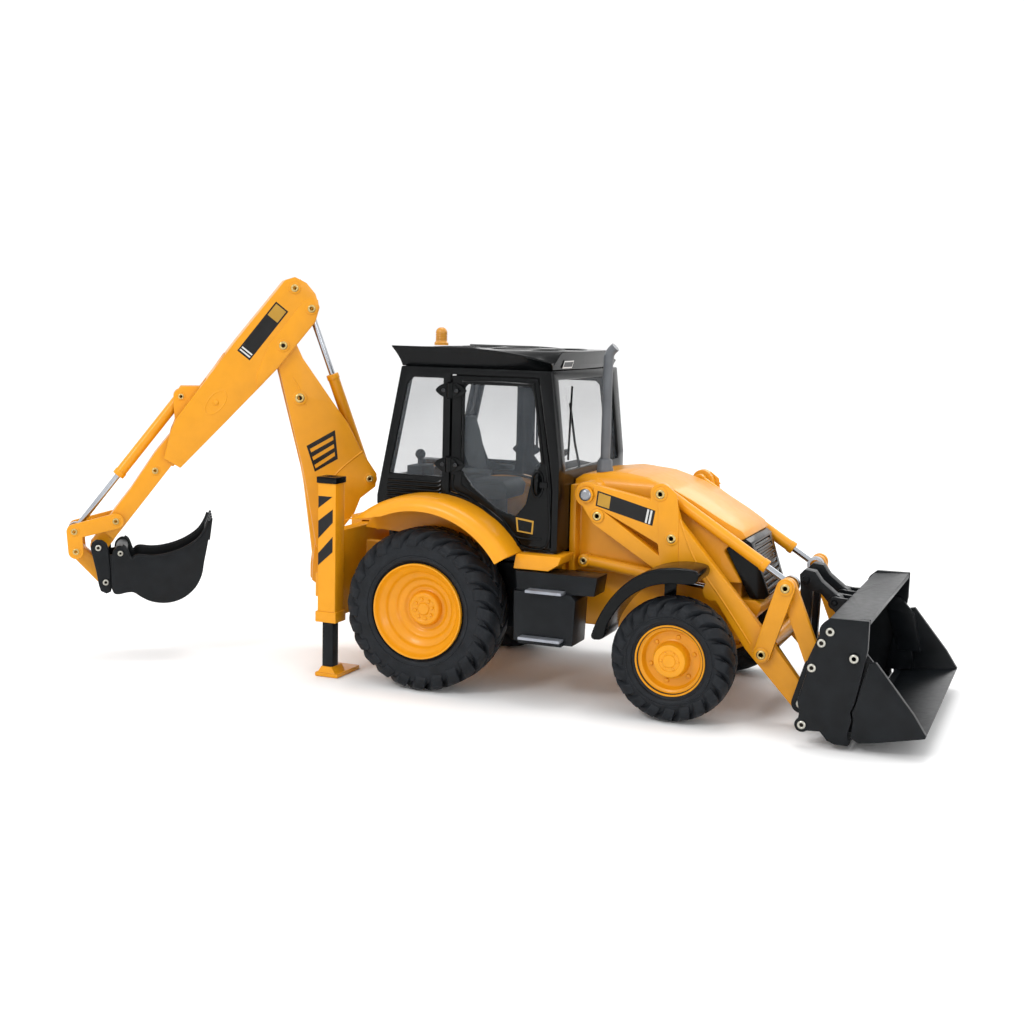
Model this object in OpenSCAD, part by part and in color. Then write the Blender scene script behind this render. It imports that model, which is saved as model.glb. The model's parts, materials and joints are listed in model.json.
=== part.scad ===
// Toy backhoe loader, die-cast 1:35 scale, in millimetres.
// Origin: on the ground under the rear axle. +X is forward, +Y is the machine's left, +Z is up.

/* [Wheels] */
// Distance between the axles
wheelbase = 62.2; // [58:0.1:64]
// Outer radius of a rear tyre
rear_tyre_r = 19.7; // [19:0.1:20]
// Outer radius of a front tyre
front_tyre_r = 14.3; // [13.5:0.1:15]
// Outer face of the rear tyres, from the centre plane
rear_tyre_out = 32.5; // [31.5:0.1:33]
// Width of a rear tyre
rear_tyre_w = 12.6; // [11:0.1:12.8]
// Outer face of the front tyres, from the centre plane
front_tyre_out = 31; // [30:0.1:32]
// Width of a front tyre
front_tyre_w = 9.4; // [8:0.1:9.6]
// Radius of a rear rim at its outer edge
rear_rim_r = 11.6; // [10:0.1:12]
// Radius of a front rim at its outer edge
front_rim_r = 8.2; // [7:0.1:8.6]

/* [Cab] */
// Half width of the cab over its door panels
cab_half_w = 24; // [23:0.1:24.5]
// Underside of the roof
roof_z = 77.8; // [75:0.1:79]
// Thickness of the roof
roof_h = 4.8; // [3:0.1:6]

/* [Loader] */
// Inner face of a loader arm plate, from the centre plane
arm_in = 16.8; // [16.7:0.1:17]
// Thickness of a loader arm plate
arm_t = 2.4; // [2:0.1:2.6]
// Half width of the loader bucket
bucket_half_w = 33.7; // [31:0.1:34]
// Centre plane of the loader rams
ram_y = 15; // [14.9:0.05:15.1]

/* [Backhoe] */
// Angle at which the backhoe stands swung to the right of straight back
swing = 36; // [0:1:60]
// Distance from the rear axle back to the swing pin
kingpost_back = 37; // [36.5:0.1:38]
// Outer half width of the dipper
dipper_half_w = 5.4; // [5.2:0.1:5.6]
// Half width of the digging bucket
dig_half_w = 8.5; // [8:0.1:9]

/* [Hidden] */
$fn = 48;

yellow = "#f5a623";
black = "#222426";
rubber = "#33363a";
gap = 0.3;            // space between bodies that move past each other
fit = 0.05;           // radial clearance of a pin in its bore
pin_r = 0.6;
axle_z = rear_tyre_r;
front_axle_z = front_tyre_r;
cab_wall = 1.4;
fender_r = 27.5;      // outer radius of a rear fender about the rear axle
fender_out = 31.6;
fender_in = 17.5;
bonnet_half_w = 13.2;
exhaust = [38.4, -9.2, 53.2];
hinge = [4.4, cab_half_w + 1];   // axis of a door, as [x, y]
arm_out = arm_in + arm_t;

// Loader pivots, as [x, z]
arm_pivot = [37.5, 49.2];
lift_base = [36.2, 32.9];
lift_pin = [68.5, 29];
tilt_base = [55.5, 50.5];
tilt_pin = [85.6, 31.6];
lever_pin = [80.9, 16];
link_pin = [92.7, 14.2];
bucket_pin = [90.3, 5.8];
jaw_pin = [103.4, 20.4];
fork_pin = [94.5, 26.9];

// Backhoe pivots in its own plane, as [distance out from the swing pin, height]
boom_foot = [6.2, 30];
boom_ram_base = [7.4, 21];
boom_ram_pin = [13.2, 67.9];
dipper_ram_base = [-5.3, 46.7];
dipper_pivot = [17.6, 81.4];
dipper_tilt = 51.5;   // slope of the dipper below level

// Dipper pivots, as [along, across] from the dipper's pivot on the boom
dipper_ram_pin = [-12, 0.3];
dig_ram_base = [26.6, 11.7];
dig_ram_pin = [70.2, 11.1];
dig_lever_base = [61.8, 4.7];
dig_link_top = [74, 7.6];
dig_link_low = [75.5, -2.9];
dig_pivot = [69.6, 4];

// ---- helpers ----

// Extrudes an [x, z] outline from y0 to y1
module slab(y0, y1) rotate([90, 0, 0]) translate([0, 0, -y1]) linear_extrude(y1 - y0) children();
module mirrored() { children(); mirror([0, 1, 0]) children(); }
module box(lo, hi) translate(lo) cube(hi - lo);
module disc(p, r) translate(p) circle(r);
// A bar outline with round ends
module bar(p, q, rp, rq) {
    v = q - p;
    n = [-v.y, v.x] / norm(v);
    polygon([p + n * rp, p - n * rp, q - n * rq, q + n * rq]);
    disc(p, rp);
    disc(q, rq);
}
// A round pin across the plane
module cross_pin(p, r, y0, y1) slab(y0, y1) disc(p, r);
function slope(p, q) = atan2(q.y - p.y, q.x - p.x);
// Turns local +X to run from p towards q at the given y
module along(p, q, y) translate([p.x, y, p.y]) rotate([0, -slope(p, q), 0]) children();
module rod_x(x0, x1, r) translate([x0, 0, 0]) rotate([0, 90, 0]) cylinder(h = x1 - x0, r = r);
module drum(x, r, w) translate([x, 0, 0]) rotate([90, 0, 0]) cylinder(h = w, r = r, center = true);

// Ram cylinder from its base pin: an eye, a barrel and a gland nut, open in front for the rod
module ram_barrel(p, q, y, r, len, eye_w, rod_r)
    along(p, q, y) difference() {
        union() {
            drum(0, r + 0.2, eye_w);
            rod_x(0.5, len, r);
            rod_x(len - 1.4, len, r + 0.15);
        }
        drum(0, pin_r + fit, 4 * eye_w);
        rod_x(r + 1.2, len + 1, rod_r + 0.12);
    }
// Ram rod from inside the cylinder to an eye with a roomy hole
module ram_rod(p, q, y, from, r, eye_r, eye_w, hole)
    along(p, q, y) difference() {
        union() {
            rod_x(from, norm(q - p) - eye_r * 0.6, r);
            drum(norm(q - p), eye_r, eye_w);
        }
        drum(norm(q - p), hole, 4 * eye_w);
    }

// ---- chassis ----

module chassis_frame() color(yellow) {
    difference() {
        union() {
            box([-22, -9, 16], [73, 9, 30.2]);
            translate([0, 0, axle_z]) rotate([90, 0, 0]) cylinder(h = 37, r = 4.2, center = true);
            translate([wheelbase, 0, front_axle_z]) rotate([90, 0, 0])
                cylinder(h = 40, r = 3, center = true);
            box([wheelbase - 3, -18, front_axle_z - 2.6], [wheelbase + 3, 18, front_axle_z + 2.6]);
            // nose below the grille
            slab(-11, 11) polygon([[70, 20], [77, 22], [78.3, 25], [76.8, 26.2], [70, 26.2]]);
        }
        translate([0, 0, axle_z]) rotate([90, 0, 0]) cylinder(h = 50, r = 1.5 + fit, center = true);
        translate([wheelbase, 0, front_axle_z]) rotate([90, 0, 0])
            cylinder(h = 50, r = 1.2 + fit, center = true);
    }
    // sills under the doors and their arms
    mirrored() {
        slab(17.5, 26.8) polygon([[22.4, 31.4], [31.2, 31.4], [33.6, 33], [34.4, 35], [23, 35]]);
        box([27, 8, 29], [31.3, 17.6, 34]);
    }
}

module rear_frame() color(yellow) {
    box([-28, -25.6, 15], [-24.4, 25.6, 18.5]);
    box([-28, -25.6, 33], [-24.4, 25.6, 36.5]);
    box([-27.6, -25.6, 18.5], [-24.4, 25.6, 33]);
    mirrored() slab(10, 12.5) polygon([[-24.4, 19], [-9, 19], [-9, 31], [-15.3, 31.3], [-15.8, 32.4],
        [-24.4, 32.4]]);
    box([-24.4, -10, 19.5], [-22, 10, 29]);
}

module bonnet_profile() polygon([[32.3, 30.2], [32.3, 52], [34, 53.2], [42, 54.3], [50, 53.4], [57, 51],
    [62, 48.6], [73.2, 42.3], [74.2, 40.8], [70.2, 38.6], [69.4, 37.6], [73.5, 30.2]]);

module bonnet() color(yellow) {
    difference() {
        intersection() {
            slab(-bonnet_half_w, bonnet_half_w) bonnet_profile();
            // rounded shoulders
            translate([30, 0, 0]) rotate([90, 0, 90]) linear_extrude(50) bonnet_section();
            // nose drawn in towards the grille
            linear_extrude(60) polygon([[30, -14], [66, -14], [78, -10.6], [78, 10.6], [66, 14], [30, 14]]);
        }
        // seat of the exhaust
        translate(exhaust) cylinder(h = 5, r = 1.8);
    }
    // end posts beside the cab, arm pivot bosses and the base pins of the lift rams
    mirrored() {
        box([32.3, bonnet_half_w - 1, 30.2], [33.9, 16.2, 51]);
        cross_pin(arm_pivot, 3, bonnet_half_w - 0.6, arm_in - gap);
        cross_pin(arm_pivot, 1.2, arm_in - gap - 0.1, arm_out + 0.5);
        cross_pin(arm_pivot, 1.9, arm_out + gap, arm_out + 1.1);
        cross_pin(lift_base, pin_r, bonnet_half_w - 0.5, 16.4);
    }
}
module bonnet_section() {
    r = 4;
    translate([-bonnet_half_w + r, 29]) square([2 * (bonnet_half_w - r), 27]);
    for (s = [-1, 1]) translate([s * (bonnet_half_w - r), 50.4]) circle(r);
    translate([-bonnet_half_w, 29]) square([2 * bonnet_half_w, 21.4]);
}

module grille() color(black) difference() {
    intersection() {
        slab(-12.6, 12.6) polygon([[69.7, 38.1], [73.9, 40.5], [75.2, 39.6], [79.6, 27.4], [78.6, 26.5],
            [76.2, 26.5], [75.4, 26.5]]);
        linear_extrude(60) polygon([[60, -13.2], [66, -13.2], [80, -9.4], [80, 9.4], [66, 13.2], [60, 13.2]]);
    }
    // ribs
    for (i = [0 : 8]) translate([78.8 - i * 0.5, -8, 27.8 + i * 1.35])
        rotate([0, 20, 0]) cube([2, 16, 0.6]);
}

module front_mudguards() color(black) mirrored() {
    slab(20, 30.6) intersection() {
        difference() {
            disc([wheelbase, front_axle_z], 20.6);
            disc([wheelbase, front_axle_z], 17.8);
        }
        polygon([[wheelbase, front_axle_z], [wheelbase - 22, front_axle_z + 3], [wheelbase - 22, 40],
            [wheelbase + 5.6, 40], [wheelbase + 4.6, 28]]);
    }
    // carrier to the frame
    box([57, 9, 22.5], [62, 20.6, 24.5]);
    box([57, 19.7, 22.5], [62, 20.6, 33.5]);
}

module fender_arc(a0, a1) translate([0, 0, axle_z]) rotate([90, 0, 0])
    rotate([0, 0, a0]) rotate_extrude(angle = a1 - a0, $fn = 96) children();

module rear_fenders() color(yellow) mirrored() {
    // curved skin: radius against distance from the centre plane
    difference() {
        mirror([0, 1, 0]) fender_arc(34, 142) polygon([[24.2, fender_out], [25.2, fender_out], [26.6, 30.6],
            [27.3, 28.6], [fender_r, 26], [fender_r, fender_in], [fender_r - 1.2, fender_in], [fender_r - 1.2, 26],
            [26, 28.2], [25.4, 29.8], [24.2, 30.4]]);
        // outer skirt cut straight towards the rear
        slab(fender_in + 1.2, 34) polygon([[-30, 38.5], [0.4, 43.67], [0.4, 30], [-30, 30]]);
    }
    // inner wall of the wheel well
    slab(fender_in + 0.1, fender_in + 1.1) intersection() {
        disc([0, axle_z], fender_r - 0.6);
        polygon([[-21.5, 36.8], [21, 34.8], [23, 36], [23, 48], [-21.5, 48]]);
    }
}

module exhaust_pipe() color("#6e7276") {
    translate(exhaust) {
        cylinder(h = 3.4, r = 1.75);
        translate([0, 0, 2.8]) cylinder(h = 25.4, r = 1.15);
        translate([0, 0, 28]) rotate([0, 38, 0]) cylinder(h = 3, r = 1.15);
        translate([0, 0, 28.1]) sphere(r = 1.14, $fn = 24);
    }
}

// ---- cab ----

cab_side = [[-15.5, 46], [-15.5, 44], [-12, 40], [20.4, 35.2], [32.2, 35.2], [32.2, 56], [29.6, roof_z], [-9.2, roof_z]];

module cab_cut_lower() disc([0, axle_z], fender_r + 0.05);
module door_outline(g) {
    // g shrinks the outline all round
    difference() {
        polygon([[4 + g, 40], [4 + g, 76.2 - g], [26.6 - g, 76.2 - g], [29.9 - g, 56], [30.6 - g, 50],
            [30.6 - g, 36 + g], [4 + g, 36 + g]]);
        disc([0, axle_z], fender_r + 1 + g);
    }
}
module door_window() polygon([[7, 53.4], [7, 72.6], [8.2, 74], [24.2, 74], [25.3, 73], [27.6, 56], [25.4, 53],
    [24, 46.5], [21.4, 43.2], [16.5, 44.6], [10, 49.6]]);
module rear_side_window() polygon([[-12.2, 51.6], [-7.6, 73.4], [-6.2, 75.2], [2, 75.2], [2, 51.6]]);

module cab_frame() color(black) difference() {
    slab(-cab_half_w, cab_half_w) difference() { polygon(cab_side); cab_cut_lower(); }
    // inside
    slab(-cab_half_w + cab_wall, cab_half_w - cab_wall) difference() {
        polygon([[-13.6, 48.2], [-13.6, 30], [30.6, 30], [30.6, 56], [28.2, roof_z - 1.2],
            [-7.8, roof_z - 1.2]]);
    }
    slab(-cab_half_w - 1, cab_half_w + 1) { door_outline(0); rear_side_window(); }
    // windscreen and rear window
    box([24, -19.6, 54.5], [40, 19.6, 75.6]);
    box([-24, -19.6, 50.6], [-5, 19.6, 75.6]);
}

module cab_glazing() color("#cfe6ee", 0.35) {
    mirrored() slab(cab_half_w - 1, cab_half_w - 0.4) rear_side_window();
    slab(-19.5, 19.5) polygon([[31.1, 54.6], [31.7, 54.6], [29.2, 75.5], [28.6, 75.5]]);
    slab(-19.5, 19.5) polygon([[-14.1, 50.7], [-13.5, 50.7], [-8.5, 75.5], [-9.1, 75.5]]);
}

module cab_floor() color(black) {
    box([-15, -fender_in + 0.05, 31.4], [27, fender_in - 0.05, 34]);
    box([-15, -9, 30.2], [27, 9, 31.4]);
    box([26, -17.2, 34], [30.5, 17.2, 35]);
    box([29.3, -17.2, 35], [30.5, 17.2, 54]);
    box([-15.4, -17.4, 34], [-14, 17.4, 42]);
}

module roof() color(black) difference() {
    union() {
        box([-10.6, -22.4, roof_z], [30, 22.4, roof_z + 2.6]);
        slab(-23.4, 23.4) polygon([[-12.4, roof_z + roof_h], [-11.8, roof_z + 1.8], [30, roof_z + 1.8],
            [30.6, roof_z + 3.2], [30.6, roof_z + roof_h - 0.6], [28, roof_z + roof_h]]);
    }
    // sunk panels in the top
    box([4, -16, roof_z + roof_h - 0.5], [24, 16, roof_z + roof_h + 1]);
}

module beacon() color("#f09a1c") translate([-8.6, -3, roof_z + roof_h]) {
    cylinder(h = 0.9, r = 1.75);
    cylinder(h = 3, r = 1.5);
    translate([0, 0, 3]) sphere(r = 1.5, $fn = 32);
}

module cab_controls() color("#3b3d40") {
    // dashboard, and the box of backhoe levers at the back
    slab(-8, 8) polygon([[25.6, 35], [29.2, 35], [29.2, 54], [25, 54.6], [23.6, 52.6], [25.6, 50.4]]);
    box([-12.6, -13.5, 34], [-8.4, -6.5, 52.6]);
    translate([-10.6, -10, 52.4]) cylinder(h = 2, r = 0.45);
    translate([-10.6, -10, 55.2]) sphere(r = 1.3, $fn = 32);
    translate([-10.6, -7.8, 52.4]) cylinder(h = 1.4, r = 0.45);
}

module steering_wheel() color(black) translate([21.4, 0, 55]) rotate([0, -32, 0]) {
    rotate_extrude() translate([4.2, 0]) circle(0.55, $fn = 24);
    translate([0, 0, -2]) cylinder(h = 2.3, r = 0.7);
    for (a = [90, 210, 330]) rotate([0, 0, a]) translate([0, -0.35, -0.3]) cube([4.1, 0.7, 0.6]);
}

module driver_seat() color("#55595c") {
    slab(-6.4, 6.4) polygon([[-2.4, 44.6], [-5.2, 60.6], [-4.4, 64.4], [-2.6, 64.6], [-1.2, 60.6], [1.6, 49],
        [10.6, 49.4], [12, 47.8], [11.4, 44.6]]);
    box([0, -4, 34], [8, 4, 44.6]);
    mirrored() slab(6.6, 8.2) polygon([[-2, 50.6], [8, 50.6], [8, 52.2], [-2, 52.2]]);
    mirrored() box([-1.2, 6.2, 50.8], [0.4, 6.8, 52]);
}

module step_boxes() color(black) mirrored() {
    slab(19.9, 27.4) polygon([[23.6, 26], [43, 26.6], [43.6, 31.1], [23.2, 31.1]]);
    slab(19.9, 28.6) polygon([[23.6, 14.6], [38.4, 14.6], [38.9, 25.4], [37.6, 26.6], [23.4, 26.6]]);
    slab(28.6, 30.8) polygon([[25.6, 14.6], [36.4, 14.6], [36.4, 15.5], [25.6, 15.5]]);
    box([27, 17.3, 23.05], [36, 20, 28.9]);
}

module step_treads() color("#b9bec2") mirrored() {
    box([27, 27.4, 26.62], [36, 30.6, 27.3]);
    box([25.8, 28.6, 15.52], [36.2, 31.4, 16.2]);
}

module stabiliser_housings() color(yellow) mirrored() {
    difference() {
        box([-28.6, 25.6, 13.9], [-23.6, 30, 48.6]);
        box([-27.8, 26.2, 10], [-24.4, 29.4, 47.2]);
    }
    // lower collar and side lug
    difference() {
        box([-29, 25.2, 13.9], [-23.2, 30.4, 16.6]);
        box([-27.8, 26.2, 10], [-24.4, 29.4, 47.2]);
        box([-28.3, 24, 10], [-24.1, 25.6, 20]);
    }
    box([-29.8, 27, 20], [-28.6, 29, 26]);
}

module housing_caps() color(black) mirrored() difference() {
    box([-28.9, 25.3, 48.6], [-23.3, 30.3, 50.2]);
    translate([-26.1, 27.8, 49.4]) cylinder(h = 2, r = 1);
}

// ---- wheels ----

module on_axle(x, z) translate([x, 0, z]) rotate([90, 0, 0]) children();

module rear_axle() color("silver") on_axle(0, axle_z) cylinder(h = 2 * 26.4, r = 1.5, center = true);
module front_axle() color("silver") on_axle(wheelbase, front_axle_z) cylinder(h = 2 * 26, r = 1.2, center = true);

// Tyre profile: outer radius, seat radius, inner face, outer face, set-back of the bead
module tyre(r, seat, y0, y1, bead) rotate_extrude($fn = 96) polygon([[seat, y0 + bead], [seat + 0.8, y0 + bead],
    [seat + 1, y0 + 0.2], [r - 2.4, y0], [r - 0.8, y0 + 0.8], [r, y0 + 2.4], [r, y1 - 2.4], [r - 0.8, y1 - 0.8],
    [r - 2.4, y1], [seat + 1, y1 - 0.2], [seat + 0.8, y1 - bead], [seat, y1 - bead]]);
// Dished rim: outer radius, faces, depth of the dish, hub radius, hub stand-out, axle radius
module rim(r, y0, y1, dish, hub, out, bore)
    rotate_extrude($fn = 96) polygon([[bore, y1 - dish + out], [hub - 0.6, y1 - dish + out], [hub, y1 - dish + out - 0.6],
        [hub, y1 - dish], [r - 3.2, y1 - dish], [r - 1.9, y1 - 1.6], [r - 1, y1 - 1.4], [r - 0.6, y1], [r, y1],
        [r, y1 - 1], [r - 0.6, y1 - 1], [r - 0.6, y0 + 1], [r, y0 + 1], [r, y0], [r - 1.2, y0],
        [r - 1.6, y1 - dish - 2.6], [hub + 0.8, y1 - dish - 2.6], [bore, y1 - dish - 2.6]]);

// Children are drawn with +Z pointing to the wheel's outer side
module right_side(x, z) translate([x, 0, z]) rotate([90, 0, 0]) children();
module left_side(x, z) translate([x, 0, z]) rotate([-90, 0, 0]) children();

module rear_rim() color(yellow) {
    rim(rear_rim_r, rear_tyre_out - rear_tyre_w, rear_tyre_out, 5.2, 3.4, 1.4, 1.5);
}
module front_rim() color(yellow) {
    rim(front_rim_r, front_tyre_out - front_tyre_w + 1, front_tyre_out - 1, 3.2, 2.6, 2.4, 1.2);
    for (a = [0 : 60 : 300]) rotate([0, 0, a]) translate([3.7, 0, front_tyre_out - 4.25])
        cylinder(h = 0.7, r = 0.55, $fn = 6);
}
module rear_tyre() color(rubber)
    tyre(rear_tyre_r, rear_rim_r - 0.6, rear_tyre_out - rear_tyre_w, rear_tyre_out, 1.1);
module front_tyre() color(rubber)
    tyre(front_tyre_r, front_rim_r - 0.6, front_tyre_out - front_tyre_w, front_tyre_out, 2.1);

module rear_rim_right() right_side(0, axle_z) rear_rim();
module rear_rim_left() left_side(0, axle_z) rear_rim();
module rear_tyre_right() right_side(0, axle_z) rear_tyre();
module rear_tyre_left() left_side(0, axle_z) rear_tyre();
module front_rim_right() right_side(wheelbase, front_axle_z) front_rim();
module front_rim_left() left_side(wheelbase, front_axle_z) front_rim();
module front_tyre_right() right_side(wheelbase, front_axle_z) front_tyre();
module front_tyre_left() left_side(wheelbase, front_axle_z) front_tyre();

// ---- doors ----

module door_left() color(black) {
    slab(cab_half_w - cab_wall, cab_half_w - 0.05) difference() { door_outline(0.25); door_window(); }
    // hinge wings and handle
    for (z = [54.7, 72.4]) {
        slab(cab_half_w - 0.3, cab_half_w + 0.9) polygon([[4.3, z - 1.6], [8, z], [4.3, z + 1.6]]);
        translate([hinge.x, hinge.y, z - 1.4]) cylinder(h = 2.8, r = 0.6);
    }
    box([26.4, cab_half_w - 0.3, 50.6], [29.6, cab_half_w + 0.7, 52]);
}
module door_right() mirror([0, 1, 0]) door_left();
module door_glass_left() color("#cfe6ee", 0.35) slab(cab_half_w - 1, cab_half_w - 0.4) door_window();
module door_glass_right() mirror([0, 1, 0]) door_glass_left();

// ---- loader ----

module loader_arm_outline() difference() {
    union() {
        polygon([[37.2, 52], [53, 49], [53.4, 50.8], [58, 51.6], [60.3, 44.6], [80.1, 21.9], [92.3, 7.2],
            [88.6, 3.9], [76.7, 16.5], [65.6, 32.4], [56.2, 32], [39.2, 42.4], [36.4, 46.4]]);
        disc(arm_pivot, 3);
        disc([40.3, 44.3], 1.9);
        disc(tilt_base, 2.5);
        disc(lift_pin, 2.2);
        disc(bucket_pin, 2.4);
    }
    polygon([[42, 45.4], [55.2, 38.9], [55.6, 36.2]]);
    disc(arm_pivot, 1.2 + fit);
    disc(bucket_pin, pin_r + fit);
    disc(lever_pin, pin_r + fit);
}

module loader_arms() color(yellow) {
    mirrored() slab(arm_in, arm_out) loader_arm_outline();
    // cross tube
    cross_pin([81.6, 17.2], 1.8, -arm_in - 0.1, arm_in + 0.1);
}

module loader_arm_pins() color("#d8c890") mirrored() {
    cross_pin(tilt_base, pin_r, 13.9, arm_in);
    cross_pin(lift_pin, pin_r, 13.9, arm_in);
    for (p = [tilt_base, [58.5, 40.4], [40.3, 44.3]]) cross_pin(p, 1.1, arm_out, arm_out + 0.3);
}

module lift_cylinders() color(yellow) mirrored() ram_barrel(lift_base, lift_pin, ram_y, 1.4, 21, 2.2, 0.8);
module lift_rods() color("silver") mirrored() ram_rod(lift_base, lift_pin, ram_y, 6, 0.75, 2.3, 1.6, 1.7);
module tilt_cylinders() color(yellow) mirrored() ram_barrel(tilt_base, tilt_pin, ram_y, 1.4, 29, 2.2, 0.75);
module tilt_rods() color("silver") mirrored() ram_rod(tilt_base, tilt_pin, ram_y, 12, 0.75, 2, 1.6, 1.3);

module tilt_levers() color(yellow) mirrored() {
    slab(arm_out + gap, arm_out + gap + 1.4) bar(lever_pin, tilt_pin, 2, 2.1);
    cross_pin(lever_pin, pin_r, arm_in + gap, arm_out + gap + 0.1);
    cross_pin(tilt_pin, pin_r, 13.9, arm_out + gap + 0.1);
    for (p = [lever_pin, tilt_pin]) cross_pin(p, 1.1, arm_out + gap + 1.4, arm_out + gap + 1.7);
}

module tilt_links() color(yellow) mirrored() slab(17.2, 18.8) difference() {
    bar(tilt_pin, link_pin, 2, 2);
    disc(tilt_pin, pin_r + fit);
    disc(link_pin, 1.05);
}

bucket_back = [[106, 28.6], [97.4, 28], [95.6, 24], [94.2, 15], [94.6, 8], [96.6, 4.4], [99.8, 1.5], [103.2, 1.5]];
bucket_split = [[102.9, 3.9], [103.6, 7.1], [103.2, 8.6], [104, 10.8], [104.8, 14.6], [105.6, 19], [106.1, 22.4]];

module bucket_side() polygon(concat([[106.1, 28.7], [98, 28.6], [96.4, 27.2], [96, 25.2], [93.7, 19.2],
    [93.5, 15.8], [91.9, 10], [92.4, 7.4], [92, 3.4], [97, 3.7], [98.6, 1.9], [100.2, 1.3], [103.2, 1.3]],
    bucket_split));

module loader_bucket() color(black) {
    // back: a bent plate with a top lip
    difference() {
        slab(-bucket_half_w + 1.4, bucket_half_w - 1.4) polygon(concat(bucket_back, [[103.2, 2.8],
            [100.4, 2.8], [97.8, 5.2], [96, 8.6], [95.6, 15], [97, 23.6], [98.6, 26.8], [106, 27.4]]));
        // room for the ends of the tilt links
        mirrored() slab(16.9, 19.1) disc(link_pin, 2.35);
    }
    mirrored() slab(bucket_half_w - 1.5, bucket_half_w) difference() {
        union() { bucket_side(); disc([93.1, 4.7], 1.6); disc([98.1, 25.6], 2.3); }
        disc(jaw_pin, 1 + fit);
    }
    // lugs that take the arms and the tilt links
    mirrored() for (y = [15.2, arm_out + gap]) slab(y, y + 1.2) {
        bar(bucket_pin, link_pin, 2.2, 2.2);
        polygon([[91, 3.6], [97, 5], [95, 16.4], [92.4, 16.4]]);
    }
    mirrored() { cross_pin(bucket_pin, pin_r, 15.3, 20.6); cross_pin(link_pin, pin_r, 15.3, 20.6); }
    // knuckles of the fork hinge
    for (y = [-8.3, -3.3, 2.1, 7.1]) slab(y, y + 1.2) difference() {
        union() { disc(fork_pin, 1.5); polygon([[94, 25.5], [96.4, 23.2], [98, 27], [97.6, 28.1], [95, 28.3]]); }
        disc(fork_pin, pin_r + fit);
    }
}

module bucket_jaw() color(black) {
    // cutting floor
    slab(-bucket_half_w + 1.4, bucket_half_w - 1.4) polygon([[103.8, 3], [105.2, 2.2], [109.6, 2.9], [118.8, 5],
        [119, 5.5], [109.4, 4.3], [105.6, 3.7], [104.2, 4.4]]);
    // side cheeks, with an inner ear that reaches the pivot
    mirrored() {
        slab(bucket_half_w - 1.5, bucket_half_w) polygon(concat([[106.6, 19.7], [107.9, 20],
            [116.2, 9.8], [119, 5.5], [118.8, 5], [109.6, 2.9], [105.2, 2.2], [103.5, 3.2]],
            [for (p = bucket_split) if (p.y < 18 && p.y > 3.95) p + [0.35, 0]]));
        slab(bucket_half_w - 3, bucket_half_w - 1.9) union() {
            disc(jaw_pin, 2.2);
            polygon([[101.4, 19.4], [104.6, 9], [110, 9], [108, 18.6], [105.2, 21.8]]);
        }
        slab(bucket_half_w - 2, bucket_half_w - 1.4) polygon([[106.2, 9], [110, 9], [107.6, 19], [106.9, 19.5]]);
        cross_pin(jaw_pin, 1, bucket_half_w - 2, bucket_half_w + 0.3);
    }
}

module fork_shank() {
    polygon([[94.6, 28.6], [91, 31.4], [89.4, 33.6], [87, 33.9], [85.9, 32.6], [86.2, 30], [87.4, 15.2], [88, 14.6],
        [88.6, 15.2], [88.9, 29], [91, 28.6], [94, 25.3]]);
    disc(fork_pin, 1.7);
}
module pallet_forks() color(black) {
    for (y = [-6.8, 3.6]) slab(y, y + 3.2) fork_shank();
    cross_pin(fork_pin, pin_r, -8.6, 8.6);
    cross_pin([87.4, 31.6], 0.9, -7.2, 7.2);
}

// ---- stabiliser legs ----

module stabiliser_leg_left() color(black) {
    box([-27.6, 26.4, 2], [-24.6, 29.2, 34]);
    color(yellow) {
        box([-29.2, 18.5, 0], [-22.8, 30, 1]);
        slab(24.6, 29.8) polygon([[-28.6, 1], [-23.6, 1], [-24.6, 2.6], [-27.6, 2.6]]);
    }
}
module stabiliser_leg_right() mirror([0, 1, 0]) stabiliser_leg_left();

// ---- backhoe ----

// The backhoe's own plane: +X out from the swing pin
module swung() translate([-kingpost_back, 0, 0]) rotate([0, 0, 180 + swing]) children();
// The dipper's own frame: +X down the dipper, +Z across it
module on_dipper() swung() translate([dipper_pivot.x, 0, dipper_pivot.y]) rotate([0, dipper_tilt, 0]) children();
function from_dipper(p) = dipper_pivot + [p.x * cos(dipper_tilt) + p.y * sin(dipper_tilt),
    -p.x * sin(dipper_tilt) + p.y * cos(dipper_tilt)];

module sideshift_carriage() color(yellow) {
    box([-31.4, -8, 13.5], [-28.3, 8, 38]);
    box([-31.4, -8, 36.8], [-22.9, 8, 38]);
    box([-24.1, -8, 34.6], [-22.9, 8, 38]);
    box([-31.4, -8, 13.5], [-22.9, 8, 14.7]);
    box([-24.1, -8, 13.5], [-22.9, 8, 17]);
    for (z = [14, 24.3]) difference() {
        union() {
            translate([-kingpost_back, 0, z]) cylinder(h = 3, r = 3.6);
            box([-kingpost_back, -3.6, z], [-31, 3.6, z + 3]);
        }
        translate([-kingpost_back, 0, z - 1]) cylinder(h = 5, r = 1.5 + fit);
    }
}

module kingpost() color(yellow) swung() {
    translate([0, 0, 17.3]) cylinder(h = 6.7, r = 3.3);
    translate([0, 0, 13.8]) cylinder(h = 13.7, r = 1.5);
    translate([0, 0, 27.5]) cylinder(h = 0.8, r = 2.4);
    mirrored() slab(1.7, 2.7) {
        polygon([[1, 17.3], [7, 17.3], [9.6, 19.4], [9.6, 23], [9, 29], [4.2, 29], [4.2, 24], [1, 24]]);
        disc(boom_foot, 2.6);
    }
    slab(-1.8, 1.8) polygon([[2, 17.3], [5.2, 17.3], [5.2, 24], [5, 30.5], [4.2, 30.5], [4.2, 24], [2, 24]]);
    cross_pin(boom_ram_base, pin_r, -1.8, 1.8);
    mirrored() cross_pin(boom_foot, 1, 2.6, 4.6);
}

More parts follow.
